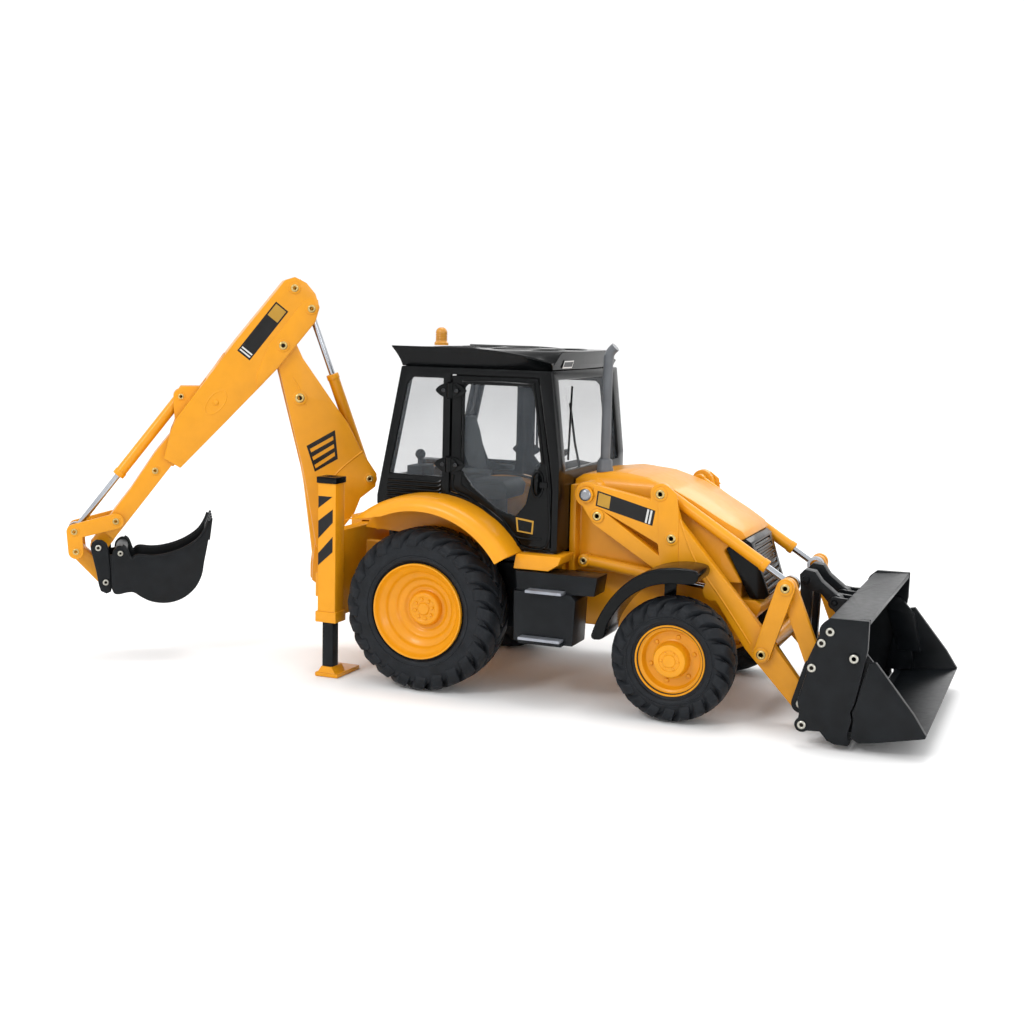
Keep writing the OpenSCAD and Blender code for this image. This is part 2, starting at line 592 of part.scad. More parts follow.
boom_outline = [[3.6, 31], [-1.4, 37.6], [-2.9, 41.5], [-6.9, 44.6], [-7.2, 48], [-2.8, 54.6], [0.3, 61],
    [4.6, 67], [12.4, 78.2], [14.6, 83], [20.4, 82.4], [18.4, 74.6], [15.4, 62.1], [12.3, 49.4], [9.9, 36], [8.9, 29.6]];

module boom() color(yellow) swung() {
    mirrored() slab(3, 4.2) difference() {
        union() {
            polygon(boom_outline);
            disc(boom_foot, 2.8);
            disc(dipper_ram_base, 2);
            disc(dipper_pivot, 3);
        }
        disc(boom_foot, 1 + fit);
    }
    // web between the two rams
    slab(-3.1, 3.1) difference() {
        polygon([[2.2, 37], [3.6, 37], [8.4, 58], [13.6, 75], [12.6, 75.8], [7.2, 59]]);
        disc(boom_ram_pin, 2.3);
    }
    cross_pin(dipper_ram_base, pin_r, -3.1, 3.1);
    cross_pin(boom_ram_pin, pin_r, -3.1, 3.1);
    cross_pin(dipper_pivot, 1, -5.6, 5.6);
    mirrored() for (p = [dipper_ram_base, boom_ram_pin]) cross_pin(p, 1.2, 4.2, 4.4);
}

module boom_cylinder() color(yellow) swung()
    ram_barrel(boom_ram_base, boom_ram_pin, 0, 1.4, 33, 2.8, 0.8);
module boom_rod() color("silver") swung()
    ram_rod(boom_ram_base, boom_ram_pin, 0, 10, 0.8, 1.9, 2.6, 1.2);
module dipper_cylinder() color(yellow) swung()
    ram_barrel(dipper_ram_base, from_dipper(dipper_ram_pin), 0, 1.5, 29, 2.8, 0.8);
module dipper_rod() color("silver") swung()
    ram_rod(dipper_ram_base, from_dipper(dipper_ram_pin), 0, 13, 0.8, 2.2, 2.6, 1.6);

module dipper_side() polygon([[-15.6, 8.6], [-13.4, 10], [6.4, 10], [16.3, 9.7], [32, 9.2], [34.9, 8.4],
    [41.6, 5.4], [41, 0.6], [24, -1], [5.4, -2.6], [-10, -2.6], [-13.6, -1.1], [-15.6, 1.9], [-16.3, 5.4]]);
module dipper_outer() color(yellow) on_dipper() {
    mirrored() slab(dipper_half_w - 1, dipper_half_w) difference() {
        dipper_side();
        disc([0, 0], 1 + fit);
    }
    // closed sleeve round the sliding dipper, with a slot in its upper wall
    difference() {
        slab(-dipper_half_w + 0.9, dipper_half_w - 0.9)
            polygon([[11, 9.8], [16.3, 9.7], [32, 9.2], [34.9, 8.4], [41.6, 5.4], [41, 0.6], [24, -1], [11, -2]]);
        box([12.4, -3.8, 1.8], [50, 3.8, 8.2]);
        box([19, -2.9, 7], [50, 2.9, 15]);
    }
    // head cover
    slab(-dipper_half_w + 0.9, dipper_half_w - 0.9) polygon([[-16, 7], [-15.6, 8.6], [-13.4, 10], [6.4, 10],
        [11, 9.9], [11, 8.8], [-13, 8.8], [-14.8, 7]]);
    cross_pin(dipper_ram_pin, pin_r, -dipper_half_w + 0.9, dipper_half_w - 0.9);
    mirrored() for (p = [dipper_ram_pin, [-13.3, 6.9]]) cross_pin(p, 1.2, dipper_half_w, dipper_half_w + 0.2);
}

module dipper_inner() color(yellow) on_dipper() {
    box([14, -3.5, 2.1], [42, 3.5, 7.9]);
    slab(-3.5, 3.5) polygon([[42, 2.6], [62, 2.2], [66, 2.2], [66, 6.6], [53.3, 6.9], [42, 7.9]]);
    mirrored() slab(1.7, 2.6) {
        polygon([[20, 7.7], [24.6, 13.4], [28.4, 12.8], [32.2, 9.3], [36, 7.7]]);
        disc(dig_ram_base, 1.9);
    }
    cross_pin(dig_ram_base, pin_r, -1.8, 1.8);
    slab(-2.6, 2.6) difference() {
        union() { polygon([[64, 2.2], [70, 1.8], [71.4, 4], [70, 6.2], [64, 6.6]]); disc(dig_pivot, 2.2); }
        disc(dig_pivot, pin_r + fit);
    }
    mirrored() cross_pin(dig_lever_base, pin_r, 3.4, 4.8);
}

module tipping_levers() color(yellow) on_dipper() {
    mirrored() slab(3.8, 4.8) difference() {
        union() {
            bar(dig_lever_base, dig_ram_pin, 2, 1.9);
            bar(dig_ram_pin, dig_link_top, 1.9, 1.9);
        }
        disc(dig_lever_base, pin_r + fit);
    }
    cross_pin(dig_ram_pin, pin_r, -3.9, 3.9);
    cross_pin(dig_link_top, pin_r, -3.9, 3.9);
}
module tipping_link() color(yellow) on_dipper() slab(-2.2, 2.2) difference() {
    bar(dig_link_top, dig_link_low, 1.8, 2);
    disc(dig_link_top, pin_r + fit);
    disc(dig_link_low, 1.5);
}

module dig_cylinder() color(yellow) on_dipper() ram_barrel(dig_ram_base, dig_ram_pin, 0, 1.4, 26, 2.2, 0.75);
module dig_rod() color("silver") on_dipper() ram_rod(dig_ram_base, dig_ram_pin, 0, 10, 0.75, 1.9, 2.2, 1.2);

// The digging bucket is drawn from the hitch pin, in the backhoe's plane
dig_centre = [-16, -4];
module dig_side() difference() {
    union() {
        disc(dig_centre, 10.3);
        polygon([[-26.2, -5], [-27.5, 0.7], [-27.2, 4.9], [-24, 4], [-16, 5.6], [-3.5, 2], [-4.3, -10.6], [-9, -10.6]]);
    }
    polygon([[-27.2, 4.9], [-25.8, 2.9], [-19.5, -0.8], [-14.3, -2.2], [-8.7, -1.2], [-6.9, 0.6], [-6.2, 8], [-26, 9]]);
}
module dig_hollow() union() {
    disc(dig_centre, 9.3);
    polygon([[-25.2, -5], [-26.4, 1], [-26.3, 6], [-8.6, 6], [-8.6, -1], [-7, -2]]);
}
module digging_bucket() color(black) swung() {
    p = from_dipper(dig_pivot);
    q = from_dipper(dig_link_low) - p;
    translate([p.x, 0, p.y]) {
        difference() {
            slab(-dig_half_w, dig_half_w) dig_side();
            slab(-dig_half_w + 1, dig_half_w - 1) dig_hollow();
            // the hitch leaves room for the dipper's end and the link
            slab(-dig_half_w - 1, dig_half_w + 1) polygon([[-6.3, 8], [-6.3, -10], [-2, -12.5], [0, 8]]);
        }
        // ears and hitch plates
        mirrored() slab(5.2, 6.4) {
            bar([0, 0], q, 2, 2);
            disc([-5.2, -1.4], 2.2);
            disc([-5, -9.6], 2.2);
            polygon([[-5.2, 0.4], [0.4, 1.5], [0.6, -9], [-4, -11.4], [-6.9, -10.3], [-7.1, -2.2]]);
        }
        cross_pin([0, 0], pin_r, -5.3, 5.3);
        cross_pin(q, pin_r, -5.3, 5.3);
        mirrored() for (c = [[0, 0], q, [-5.2, -1.4], [-5, -9.6]]) cross_pin(c, 1, 6.4, 6.7);
        // teeth on the lip
        for (y = [-7, -2.4, 2.4, 7]) slab(y - 0.8, y + 0.8)
            polygon([[-26.8, 1.6], [-27.7, 1.8], [-28.4, 7.2], [-27.9, 7.4], [-26.8, 4.2]]);
    }
}

chassis_frame();
rear_frame();
bonnet();
grille();
front_mudguards();
rear_fenders();
exhaust_pipe();
cab_frame();
cab_floor();
roof();
beacon();
cab_glazing();
cab_controls();
steering_wheel();
driver_seat();
step_boxes();
step_treads();
stabiliser_housings();
housing_caps();
rear_axle();
rear_rim_right();
rear_rim_left();
rear_tyre_right();
rear_tyre_left();
front_axle();
front_rim_right();
front_rim_left();
front_tyre_right();
front_tyre_left();
door_right();
door_left();
door_glass_right();
door_glass_left();
loader_arms();
loader_arm_pins();
lift_cylinders();
lift_rods();
tilt_cylinders();
tilt_rods();
tilt_levers();
tilt_links();
loader_bucket();
bucket_jaw();
pallet_forks();
stabiliser_leg_right();
stabiliser_leg_left();
sideshift_carriage();
kingpost();
boom();
boom_cylinder();
boom_rod();
dipper_outer();
dipper_cylinder();
dipper_rod();
dipper_inner();
tipping_levers();
tipping_link();
dig_cylinder();
dig_rod();
digging_bucket();
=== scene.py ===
import json
import math

import bmesh
import bpy
from mathutils import Matrix, Vector
from mathutils.bvhtree import BVHTree

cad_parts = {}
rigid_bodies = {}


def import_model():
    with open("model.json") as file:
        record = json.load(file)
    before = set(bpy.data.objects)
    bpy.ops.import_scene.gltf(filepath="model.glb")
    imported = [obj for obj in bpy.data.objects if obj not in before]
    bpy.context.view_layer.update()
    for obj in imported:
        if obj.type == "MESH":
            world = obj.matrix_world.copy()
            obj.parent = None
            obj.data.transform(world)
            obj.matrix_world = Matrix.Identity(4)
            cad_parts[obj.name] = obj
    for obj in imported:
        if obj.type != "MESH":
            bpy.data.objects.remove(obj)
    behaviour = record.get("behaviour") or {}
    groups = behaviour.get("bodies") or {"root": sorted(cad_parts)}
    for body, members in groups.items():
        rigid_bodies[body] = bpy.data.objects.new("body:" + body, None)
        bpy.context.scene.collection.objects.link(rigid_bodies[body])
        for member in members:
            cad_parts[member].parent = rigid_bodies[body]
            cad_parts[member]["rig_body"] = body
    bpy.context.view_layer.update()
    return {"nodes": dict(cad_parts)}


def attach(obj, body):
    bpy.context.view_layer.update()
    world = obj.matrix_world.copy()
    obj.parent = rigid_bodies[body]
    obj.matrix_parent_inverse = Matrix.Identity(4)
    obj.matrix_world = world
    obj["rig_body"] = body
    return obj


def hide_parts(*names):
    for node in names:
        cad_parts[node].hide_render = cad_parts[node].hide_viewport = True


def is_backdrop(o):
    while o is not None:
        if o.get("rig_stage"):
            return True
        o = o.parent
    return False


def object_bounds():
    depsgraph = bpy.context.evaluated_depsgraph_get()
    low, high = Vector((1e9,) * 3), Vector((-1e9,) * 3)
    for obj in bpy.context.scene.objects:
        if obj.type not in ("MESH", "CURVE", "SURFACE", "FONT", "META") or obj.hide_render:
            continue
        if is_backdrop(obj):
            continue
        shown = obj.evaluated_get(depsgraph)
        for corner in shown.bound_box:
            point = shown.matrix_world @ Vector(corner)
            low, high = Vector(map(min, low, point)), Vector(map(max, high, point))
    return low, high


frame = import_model()
MM = 0.001
PI = math.pi
SIDES = ((-1, "right"), (1, "left"))

# sizes in millimetres and degrees, as in the CAD
REAR_R = 19.7
FRONT_R = 14.3
WHEELBASE = 62.2
CAB_WALL = 24
HINGE_Y = 25
ROOF_Z = 77.8
BUCKET_FACE = 33.7
KINGPOST_BACK = 37
SWING = 216
DIPPER_PIVOT = (17.6, 81.4)
DIPPER_TILT = 51.5
SPIKE = 0.8   # how far a rounded corner may stand off the CAD surface, in bevel widths


# ---- materials ----

def srgb(r, g, b):
    linear = [((c / 255 + 0.055) / 1.055) ** 2.4 if c > 10 else c / 255 / 12.92 for c in (r, g, b)]
    return (*linear, 1.0)


def material(name, colour, rough, metallic=0.0, vary=0.06, scale=260, bump=0.02, bump_scale=900, coat=0.0,
             rough_vary=0.08, specular=0.5):
    m = bpy.data.materials.new(name)
    m.use_nodes = True
    t = m.node_tree
    p = t.nodes["Principled BSDF"]
    p.inputs["Metallic"].default_value = metallic
    p.inputs["Specular IOR Level"].default_value = specular
    p.inputs["Coat Weight"].default_value = coat
    p.inputs["Coat Roughness"].default_value = 0.12
    co = t.nodes.new("ShaderNodeTexCoord")
    noise = t.nodes.new("ShaderNodeTexNoise")
    noise.inputs["Scale"].default_value = scale
    noise.inputs["Detail"].default_value = 5
    t.links.new(co.outputs["Object"], noise.inputs["Vector"])
    ramp = t.nodes.new("ShaderNodeValToRGB")
    lo = tuple(c * (1 - vary) for c in colour[:3]) + (1,)
    hi = tuple(min(1, c * (1 + vary)) for c in colour[:3]) + (1,)
    ramp.color_ramp.elements[0].position = 0.32
    ramp.color_ramp.elements[1].position = 0.68
    ramp.color_ramp.elements[0].color = lo
    ramp.color_ramp.elements[1].color = hi
    t.links.new(noise.outputs["Fac"], ramp.inputs["Fac"])
    t.links.new(ramp.outputs["Color"], p.inputs["Base Color"])
    rr = t.nodes.new("ShaderNodeMapRange")
    rr.inputs["To Min"].default_value = max(0.03, rough - rough_vary)
    rr.inputs["To Max"].default_value = rough + rough_vary
    fine = t.nodes.new("ShaderNodeTexNoise")
    fine.inputs["Scale"].default_value = scale * 2.3
    fine.inputs["Detail"].default_value = 3
    t.links.new(co.outputs["Object"], fine.inputs["Vector"])
    t.links.new(fine.outputs["Fac"], rr.inputs["Value"])
    t.links.new(rr.outputs["Result"], p.inputs["Roughness"])
    if bump:
        grain = t.nodes.new("ShaderNodeTexNoise")
        grain.inputs["Scale"].default_value = bump_scale
        grain.inputs["Detail"].default_value = 2
        t.links.new(co.outputs["Object"], grain.inputs["Vector"])
        b = t.nodes.new("ShaderNodeBump")
        b.inputs["Strength"].default_value = bump
        b.inputs["Distance"].default_value = 0.0002
        t.links.new(grain.outputs["Fac"], b.inputs["Height"])
        t.links.new(b.outputs["Normal"], p.inputs["Normal"])
    return m


YELLOW = material("paint_yellow", srgb(220, 147, 15), 0.36, vary=0.035, coat=0.1, bump=0.05, bump_scale=700,
                  specular=0.32)
BLACK = material("paint_black", srgb(14, 17, 20), 0.36, vary=0.3, coat=0.05, bump=0.08, bump_scale=800,
                 specular=0.17)
GLOSS = material("plastic_black", srgb(9, 11, 12), 0.2, vary=0.25, coat=0.05, bump=0.06, bump_scale=450,
                 specular=0.13)
RUBBER = material("tyre_rubber", srgb(24, 27, 31), 0.55, vary=0.25, scale=420, bump=0.3, bump_scale=1500,
                  specular=0.2)
GREY = material("plastic_grey", srgb(92, 95, 99), 0.38, vary=0.12, bump=0.04, specular=0.3)
SEAT = material("seat_grey", srgb(72, 77, 80), 0.6, vary=0.15, bump=0.2, bump_scale=1600, specular=0.2)
DARK = material("cab_interior", srgb(30, 33, 35), 0.5, vary=0.2, bump=0.1, specular=0.2)
CHROME = material("rod_chrome", srgb(176, 180, 186), 0.2, metallic=1.0, vary=0.08, bump=0.05)
STEEL = material("steel", srgb(150, 152, 156), 0.34, metallic=1.0, vary=0.1, bump=0.05)
TREAD = material("tread_plate", srgb(150, 154, 162), 0.4, metallic=0.6, vary=0.2, bump=0.3, bump_scale=900)
RIVET = material("rivet_metal", srgb(196, 172, 112), 0.3, metallic=0.9, vary=0.12, bump=0.05)
RING = material("rivet_silver", srgb(184, 182, 172), 0.3, metallic=0.85, vary=0.12, bump=0.05)
# painted shade: the colour of the flat disc that stands for the shaded depth of a rivet's bore
HOLE_SHADE = material("rivet_hole_shade", srgb(26, 20, 14), 0.6, vary=0.2, bump=0.0, specular=0.15)
DECAL = material("decal_black", srgb(14, 14, 15), 0.35, vary=0.12, bump=0.0, coat=0.1, specular=0.25)
PALE = material("decal_pale", srgb(205, 206, 204), 0.4, vary=0.03, bump=0.0, specular=0.3)
GOLD = material("decal_gold", srgb(176, 134, 46), 0.4, vary=0.08, bump=0.0, specular=0.3)
SCREW = material("screw_dark", srgb(60, 62, 64), 0.3, metallic=0.8, vary=0.15, bump=0.0)
FLOOR = material("floor", srgb(246, 246, 246), 0.8, vary=0.006, scale=4, bump=0.0, specular=0.05)


def clear(name, colour, rough, alpha):
    """Thin see-through sheet."""
    m = material(name, colour, rough, vary=0.06, bump=0.0, rough_vary=0.02, specular=0.6)
    m.node_tree.nodes["Principled BSDF"].inputs["Alpha"].default_value = alpha
    return m


GLASS = clear("window_clear", srgb(96, 103, 110), 0.08, 0.15)
AMBER = material("beacon_amber", srgb(226, 154, 24), 0.2, vary=0.1, coat=0.4, bump=0.0)
AMBER.node_tree.nodes["Principled BSDF"].inputs["Transmission Weight"].default_value = 0.25

NODE_MATERIAL = {}
for mat, names in (
    (YELLOW, "chassis_frame rear_frame bonnet rear_fenders stabiliser_housings rear_rim_right "
             "rear_rim_left front_rim_right front_rim_left loader_arms lift_cylinders tilt_cylinders "
             "tilt_levers tilt_links sideshift_carriage kingpost boom boom_cylinder dipper_outer "
             "dipper_cylinder dipper_inner tipping_levers tipping_link dig_cylinder"),
    (BLACK, "loader_bucket bucket_jaw pallet_forks digging_bucket stabiliser_leg_right "
            "stabiliser_leg_left step_boxes"),
    (GLOSS, "grille front_mudguards cab_frame roof housing_caps door_right door_left"),
    (DARK, "cab_floor cab_controls steering_wheel"),
    (GREY, "exhaust_pipe"),
    (SEAT, "driver_seat"),
    (RUBBER, "rear_tyre_right rear_tyre_left front_tyre_right front_tyre_left"),
    (CHROME, "lift_rods tilt_rods boom_rod dipper_rod dig_rod"),
    (STEEL, "rear_axle front_axle"),
    (RIVET, "loader_arm_pins"),
    (GLASS, "cab_glazing door_glass_right door_glass_left"),
    (AMBER, "beacon"),
    (TREAD, "step_treads"),
):
    for n in names.split():
        NODE_MATERIAL[n] = mat
for n, o in frame["nodes"].items():
    o.data.materials.clear()
    o.data.materials.append(NODE_MATERIAL[n])
BODY = {n: o["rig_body"] for n, o in frame["nodes"].items()}


# ---- mesh helpers; everything is drawn in millimetres ----

def span(side, inner, outer):
    """The two y values of a slab on one side of the machine, lowest first."""
    return sorted((side * inner, side * outer))


def settle(bm, name, body, mat, stands_for=(), smooth=38, matrix=None):
    """Turns a bmesh in millimetres into a piece that rides on a body."""
    if matrix is not None:
        bmesh.ops.transform(bm, matrix=matrix, verts=bm.verts)
    bmesh.ops.scale(bm, vec=(MM, MM, MM), verts=bm.verts)
    for f in bm.faces:
        f.smooth = True
    limit = math.radians(smooth)
    for e in bm.edges:
        e.smooth = len(e.link_faces) == 2 and e.calc_face_angle(0) < limit
    me = bpy.data.meshes.new(name)
    bm.to_mesh(me)
    bm.free()
    for m in (mat if isinstance(mat, (list, tuple)) else [mat]):
        me.materials.append(m)
    o = bpy.data.objects.new(name, me)
    bpy.context.scene.collection.objects.link(o)
    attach(o, body)
    for n in stands_for:
        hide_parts(n)
    return o


def soften(bm, width, angle=28, segments=2):
    edges = [e for e in bm.edges if len(e.link_faces) == 2 and e.calc_face_angle(0) > math.radians(angle)]
    bmesh.ops.bevel(bm, geom=edges, offset=width, offset_type="OFFSET", segments=segments, profile=0.6,
                    affect="EDGES", clamp_overlap=False)


def from_cad(node):
    bm = bmesh.new()
    bm.from_mesh(frame["nodes"][node].data)
    bmesh.ops.scale(bm, vec=(1 / MM,) * 3, verts=bm.verts)
    bmesh.ops.remove_doubles(bm, verts=bm.verts, dist=0.002)
    return bm


def softened(node, width, mat=None):
    """The CAD piece with rounded edges, in its place. A corner that the rounding threw out is put back."""
    bm = from_cad(node)
    skin = BVHTree.FromBMesh(bm)
    soften(bm, width)
    for v in bm.verts:
        near, _, _, far = skin.find_nearest(v.co)
        if far > width * SPIKE:
            v.co = near
    return settle(bm, node + "_look", BODY[node], mat or NODE_MATERIAL[node], [node])


def extruded(points, y0, y1, width=0.0, segments=2, angle=28):
    """An outline in [x, z] between two y values, with its edges rounded."""
    bm = bmesh.new()
    area = sum(a[0] * b[1] - b[0] * a[1] for a, b in zip(points, points[1:] + points[:1]))
    pts = points if area > 0 else points[::-1]
    a = [bm.verts.new((x, y0, z)) for x, z in pts]
    b = [bm.verts.new((x, y1, z)) for x, z in pts]
    bm.faces.new(a)
    bm.faces.new(b[::-1])
    n = len(pts)
    for i in range(n):
        j = (i + 1) % n
        bm.faces.new((a[j], a[i], b[i], b[j]))
    bmesh.ops.recalc_face_normals(bm, faces=bm.faces)
    if width:
        soften(bm, width, angle, segments)
    return bm


def block(lo, hi, width=0.0):
    bm = bmesh.new()
    bmesh.ops.create_cube(bm, size=1)
    size = [h - l for l, h in zip(lo, hi)]
    mid = [(h + l) / 2 for l, h in zip(lo, hi)]
    bmesh.ops.scale(bm, vec=size, verts=bm.verts)
    bmesh.ops.translate(bm, vec=mid, verts=bm.verts)
    if width:
        soften(bm, width)
    return bm


def join(*parts):
    out = parts[0]
    for p in parts[1:]:
        me = bpy.data.meshes.new("part")
        p.to_mesh(me)
        out.from_mesh(me)
        p.free()
        bpy.data.meshes.remove(me)
    return out


def lathe(profile, steps=64, closed=False):
    """Turns [radius, height] points round the Z axis."""
    bm = bmesh.new()
    rings = []
    for r, h in profile:
        if r < 1e-6:
            rings.append([bm.verts.new((0, 0, h))])
        else:
            turns = [2 * PI * k / steps for k in range(steps)]
            rings.append([bm.verts.new((r * math.cos(t), r * math.sin(t), h)) for t in turns])
    pairs = list(zip(rings, rings[1:]))
    if closed:
        pairs.append((rings[-1], rings[0]))
    for a, b in pairs:
        for k in range(steps):
            j = (k + 1) % steps
            vs = []
            for v in (a[k % len(a)], a[j % len(a)], b[j % len(b)], b[k % len(b)]):
                if v not in vs:
                    vs.append(v)
            if len(vs) > 2:
                bm.faces.new(vs)
    bmesh.ops.recalc_face_normals(bm, faces=bm.faces)
    return bm


def smooth_line(points, count=6, closed=False):
    """Catmull-Rom curve through points of any size."""
    out = []
    n = len(points)
    last = n if closed else n - 1
    for i in range(last):
        p = [points[(i + k) % n] if closed else points[min(max(i + k, 0), n - 1)] for k in (-1, 0, 1, 2)]
        for s in range(count):
            t = s / count
            out.append(tuple(0.5 * (2 * b + (c - a) * t + (2 * a - 5 * b + 4 * c - d) * t * t
                                    + (3 * b - a - 3 * c + d) * t ** 3) for a, b, c, d in zip(*p)))
    if not closed:
        out.append(tuple(points[-1]))
    return out


def tube(points, radius, sides=12, caps=True):
    """A round bar along a line of 3-D points; radius is one number or one per point."""
    bm = bmesh.new()
    pts = [Vector(p) for p in points]
    rad = radius if isinstance(radius, (list, tuple)) else [radius] * len(pts)
    rings = []
    up = Vector((0.03, 0.02, 1))
    for i, p in enumerate(pts):
        d = (pts[min(i + 1, len(pts) - 1)] - pts[max(i - 1, 0)]).normalized()
        a = up - d * up.dot(d)
        if a.length < 0.1:
            a = Vector((1, 0.1, 0)) - d * d.x
        a.normalize()
        b = d.cross(a)
        up = a
        turns = [2 * PI * k / sides for k in range(sides)]
        rings.append([bm.verts.new(p + (a * math.cos(t) + b * math.sin(t)) * rad[i]) for t in turns])
    for a, b in zip(rings, rings[1:]):
        for k in range(sides):
            bm.faces.new((a[k], a[(k + 1) % sides], b[(k + 1) % sides], b[k]))
    if caps:
        bm.faces.new(rings[0][::-1])
        bm.faces.new(rings[-1])
    bmesh.ops.recalc_face_normals(bm, faces=bm.faces)
    return bm


def turned(bm, matrix):
    bmesh.ops.transform(bm, matrix=matrix, verts=bm.verts)
    return bm


def moved(x, y, z):
    return Matrix.Translation((x, y, z))


def rot(deg, axis):
    return Matrix.Rotation(math.radians(deg), 4, axis)


def ellipse(cx, cy, rx, ry, count):
    turns = [2 * PI * k / count for k in range(count)]
    return [(cx + rx * math.cos(t), cy + ry * math.sin(t)) for t in turns]


# the backhoe's own plane, and the dipper's own frame inside it
SWUNG = moved(-KINGPOST_BACK, 0, 0) @ rot(SWING, "Z")
DIPPER = SWUNG @ moved(DIPPER_PIVOT[0], 0, DIPPER_PIVOT[1]) @ rot(DIPPER_TILT, "Y")
OUT_Y = {1: rot(-90, "X"), -1: rot(90, "X")}   # local +Z to +Y or to -Y

RIVETS = {}


def rivet(body, p, y, side, r=1.1, base=None, dark=False):
    """A hollow rivet head on the plane at y; p is [x, z], side the way it faces, base an optional frame."""
    place = (base or Matrix.Identity(4)) @ moved(p[0], y, p[1]) @ OUT_Y[side]
    ring = [(r * 1.0, -0.1), (r * 1.0, 0.12), (r * 0.92, 0.26), (r * 0.72, 0.34), (r * 0.56, 0.32),
            (r * 0.46, 0.2), (r * 0.42, 0.02)]
    RIVETS.setdefault((body, "dark" if dark else "ring"), []).append(turned(lathe(ring, 24), place))
    # a flat dark disc in the hollow of the head: painted shade in place of the depth of the bore
    inner = [(r * 0.44, 0.05), (0, 0.05)]
    RIVETS.setdefault((body, "hole"), []).append(turned(lathe(inner, 24), place))
    wide = 1.15 if dark else 1.5
    collar = [(r * wide, -0.1), (r * wide, 0.06), (r * wide * 0.94, 0.14), (r * 0.98, 0.14)]
    key = "collar_black" if dark else "collar"
    RIVETS.setdefault((body, key), []).append(turned(lathe(collar, 28), place))


def finish_rivets():
    mats = {"ring": RIVET, "dark": RING, "hole": HOLE_SHADE, "collar": YELLOW, "collar_black": BLACK}
    for (body, kind), parts in sorted(RIVETS.items()):
        settle(join(*parts), f"rivets_{kind}_{body}", body, mats[kind], smooth=50)


# ---- wheels ----

def tyre_look(node, r, half, seat, place, lugs, lug_h, wide):
    rc = r - lug_h
    side = [(rc, 0), (rc - 0.1, half - 3.2), (rc - 0.5, half - 1.5), (rc - 1.2, half - 0.5),
            (rc - 2.4, half - 0.05), (seat + 2.6, half), (seat + 1.7, half - 0.15),
            (seat + 1.25, half - 0.45)]
    curve = smooth_line(side, 5)
    lip = [(seat + 1.2, half - 0.9), (seat + 0.7, half - 1.2), (seat, half - 1.2)]
    upper = curve + lip
    bm = lathe(upper[::-1] + [(a, -b) for a, b in upper[1:]], 96, closed=True)
    # a moulded ring on each side wall
    for s in (1, -1):
        ring = [(seat + 2.2, half - 0.3), (seat + 2.3, half + 0.12), (seat + 2.5, half + 0.16),
                (seat + 2.7, half - 0.3)]
        bm = join(bm, lathe([(a, s * b) for a, b in ring], 96, closed=True))
    lengths = [0]
    for p, q in zip(curve, curve[1:]):
        lengths.append(lengths[-1] + math.dist(p, q))

    def at(dist):
        k = 0
        while k < len(lengths) - 2 and lengths[k + 1] < dist:
            k += 1
        f = (dist - lengths[k]) / (lengths[k + 1] - lengths[k])
        p, q = Vector(curve[k]), Vector(curve[k + 1])
        d = (q - p).normalized()
        return p.lerp(q, f), Vector((-d.y, d.x)) * -1
    reach = half + 0.9
    tread = bmesh.new()
    for s in (1, -1):
        for k in range(lugs):
            turn = 2 * PI * (k + (0.5 if s < 0 else 0)) / lugs
            rings = []
            path = []
            for i in range(12):
                u = i / 11
                p, n = at(0.35 + u * reach)
                if n.x < 0 and u < 0.5:
                    n = -n
                ang = turn + (0.36 * (1 - (1 - u) ** 1.6)) * (REAR_R / r) ** 0.3
                path.append((p, n, ang, u))

            def world(p, ang):
                return Vector((p.x * math.cos(ang), p.x * math.sin(ang), s * p.y))
            for i, (p, n, ang, u) in enumerate(path):
                a = path[max(i - 1, 0)]
                b = path[min(i + 1, 11)]
                run = (world(b[0], b[2]) - world(a[0], a[2])).normalized()
                out = Vector((n.x * math.cos(ang), n.x * math.sin(ang), s * n.y))
                across = out.cross(run).normalized()
                h = lug_h * (1 if u < 0.6 else 1 - 0.9 * ((u - 0.6) / 0.4) ** 1.5)
                w = wide * (0.82 + 0.35 * math.sin(PI * min(u, 0.75)))
                c = world(p, ang)
                rings.append([tread.verts.new(v) for v in (
                    c - out * 0.35 - across * (w + 0.3), c + out * h - across * (w - 0.12),
                    c + out * h + across * (w - 0.12), c - out * 0.35 + across * (w + 0.3))])
            for a, b in zip(rings, rings[1:]):
                for j in range(4):
                    tread.faces.new((a[j], a[(j + 1) % 4], b[(j + 1) % 4], b[j]))
            tread.faces.new(rings[0][::-1])
            tread.faces.new(rings[-1])
    bmesh.ops.recalc_face_normals(tread, faces=tread.faces)
    soften(tread, 0.16, 32, 2)
    settle(join(bm, tread), node + "_look", BODY[node], RUBBER, [node], 40, place)


def wheel_place(x, z, side, y):
    return moved(x, side * y, z) @ OUT_Y[side]


REAR_DISH = [(11.6, -1.0), (11.6, -0.1), (11.5, 0.0), (11.3, 0.0), (11.15, -0.15), (11.0, -0.6), (10.7, -1.3),
             (10.3, -1.75), (9.6, -2.3), (9.3, -2.75), (9.15, -3.2), (8.9, -3.4), (8.2, -3.75), (7.6, -4.1),
             (7.3, -4.45), (7.1, -4.8), (6.8, -4.95), (6.0, -5.1), (5.6, -5.25), (5.4, -5.5), (5.1, -5.6),
             (4.6, -5.6), (4.35, -5.45), (4.2, -5.0), (4.1, -4.3), (3.9, -4.0), (3.6, -3.85), (3.1, -3.8),
             (2.9, -3.95), (1.6, -3.95), (1.45, -3.75), (1.3, -3.6), (0, -3.55)]
REAR_BACK = [(0, -7.6), (4, -7.6), (8.6, -7.6), (10.2, -9), (10.7, -12.6), (11.6, -12.6), (11.6, -11.7),
             (11.0, -11.6), (11.0, -1.0)]
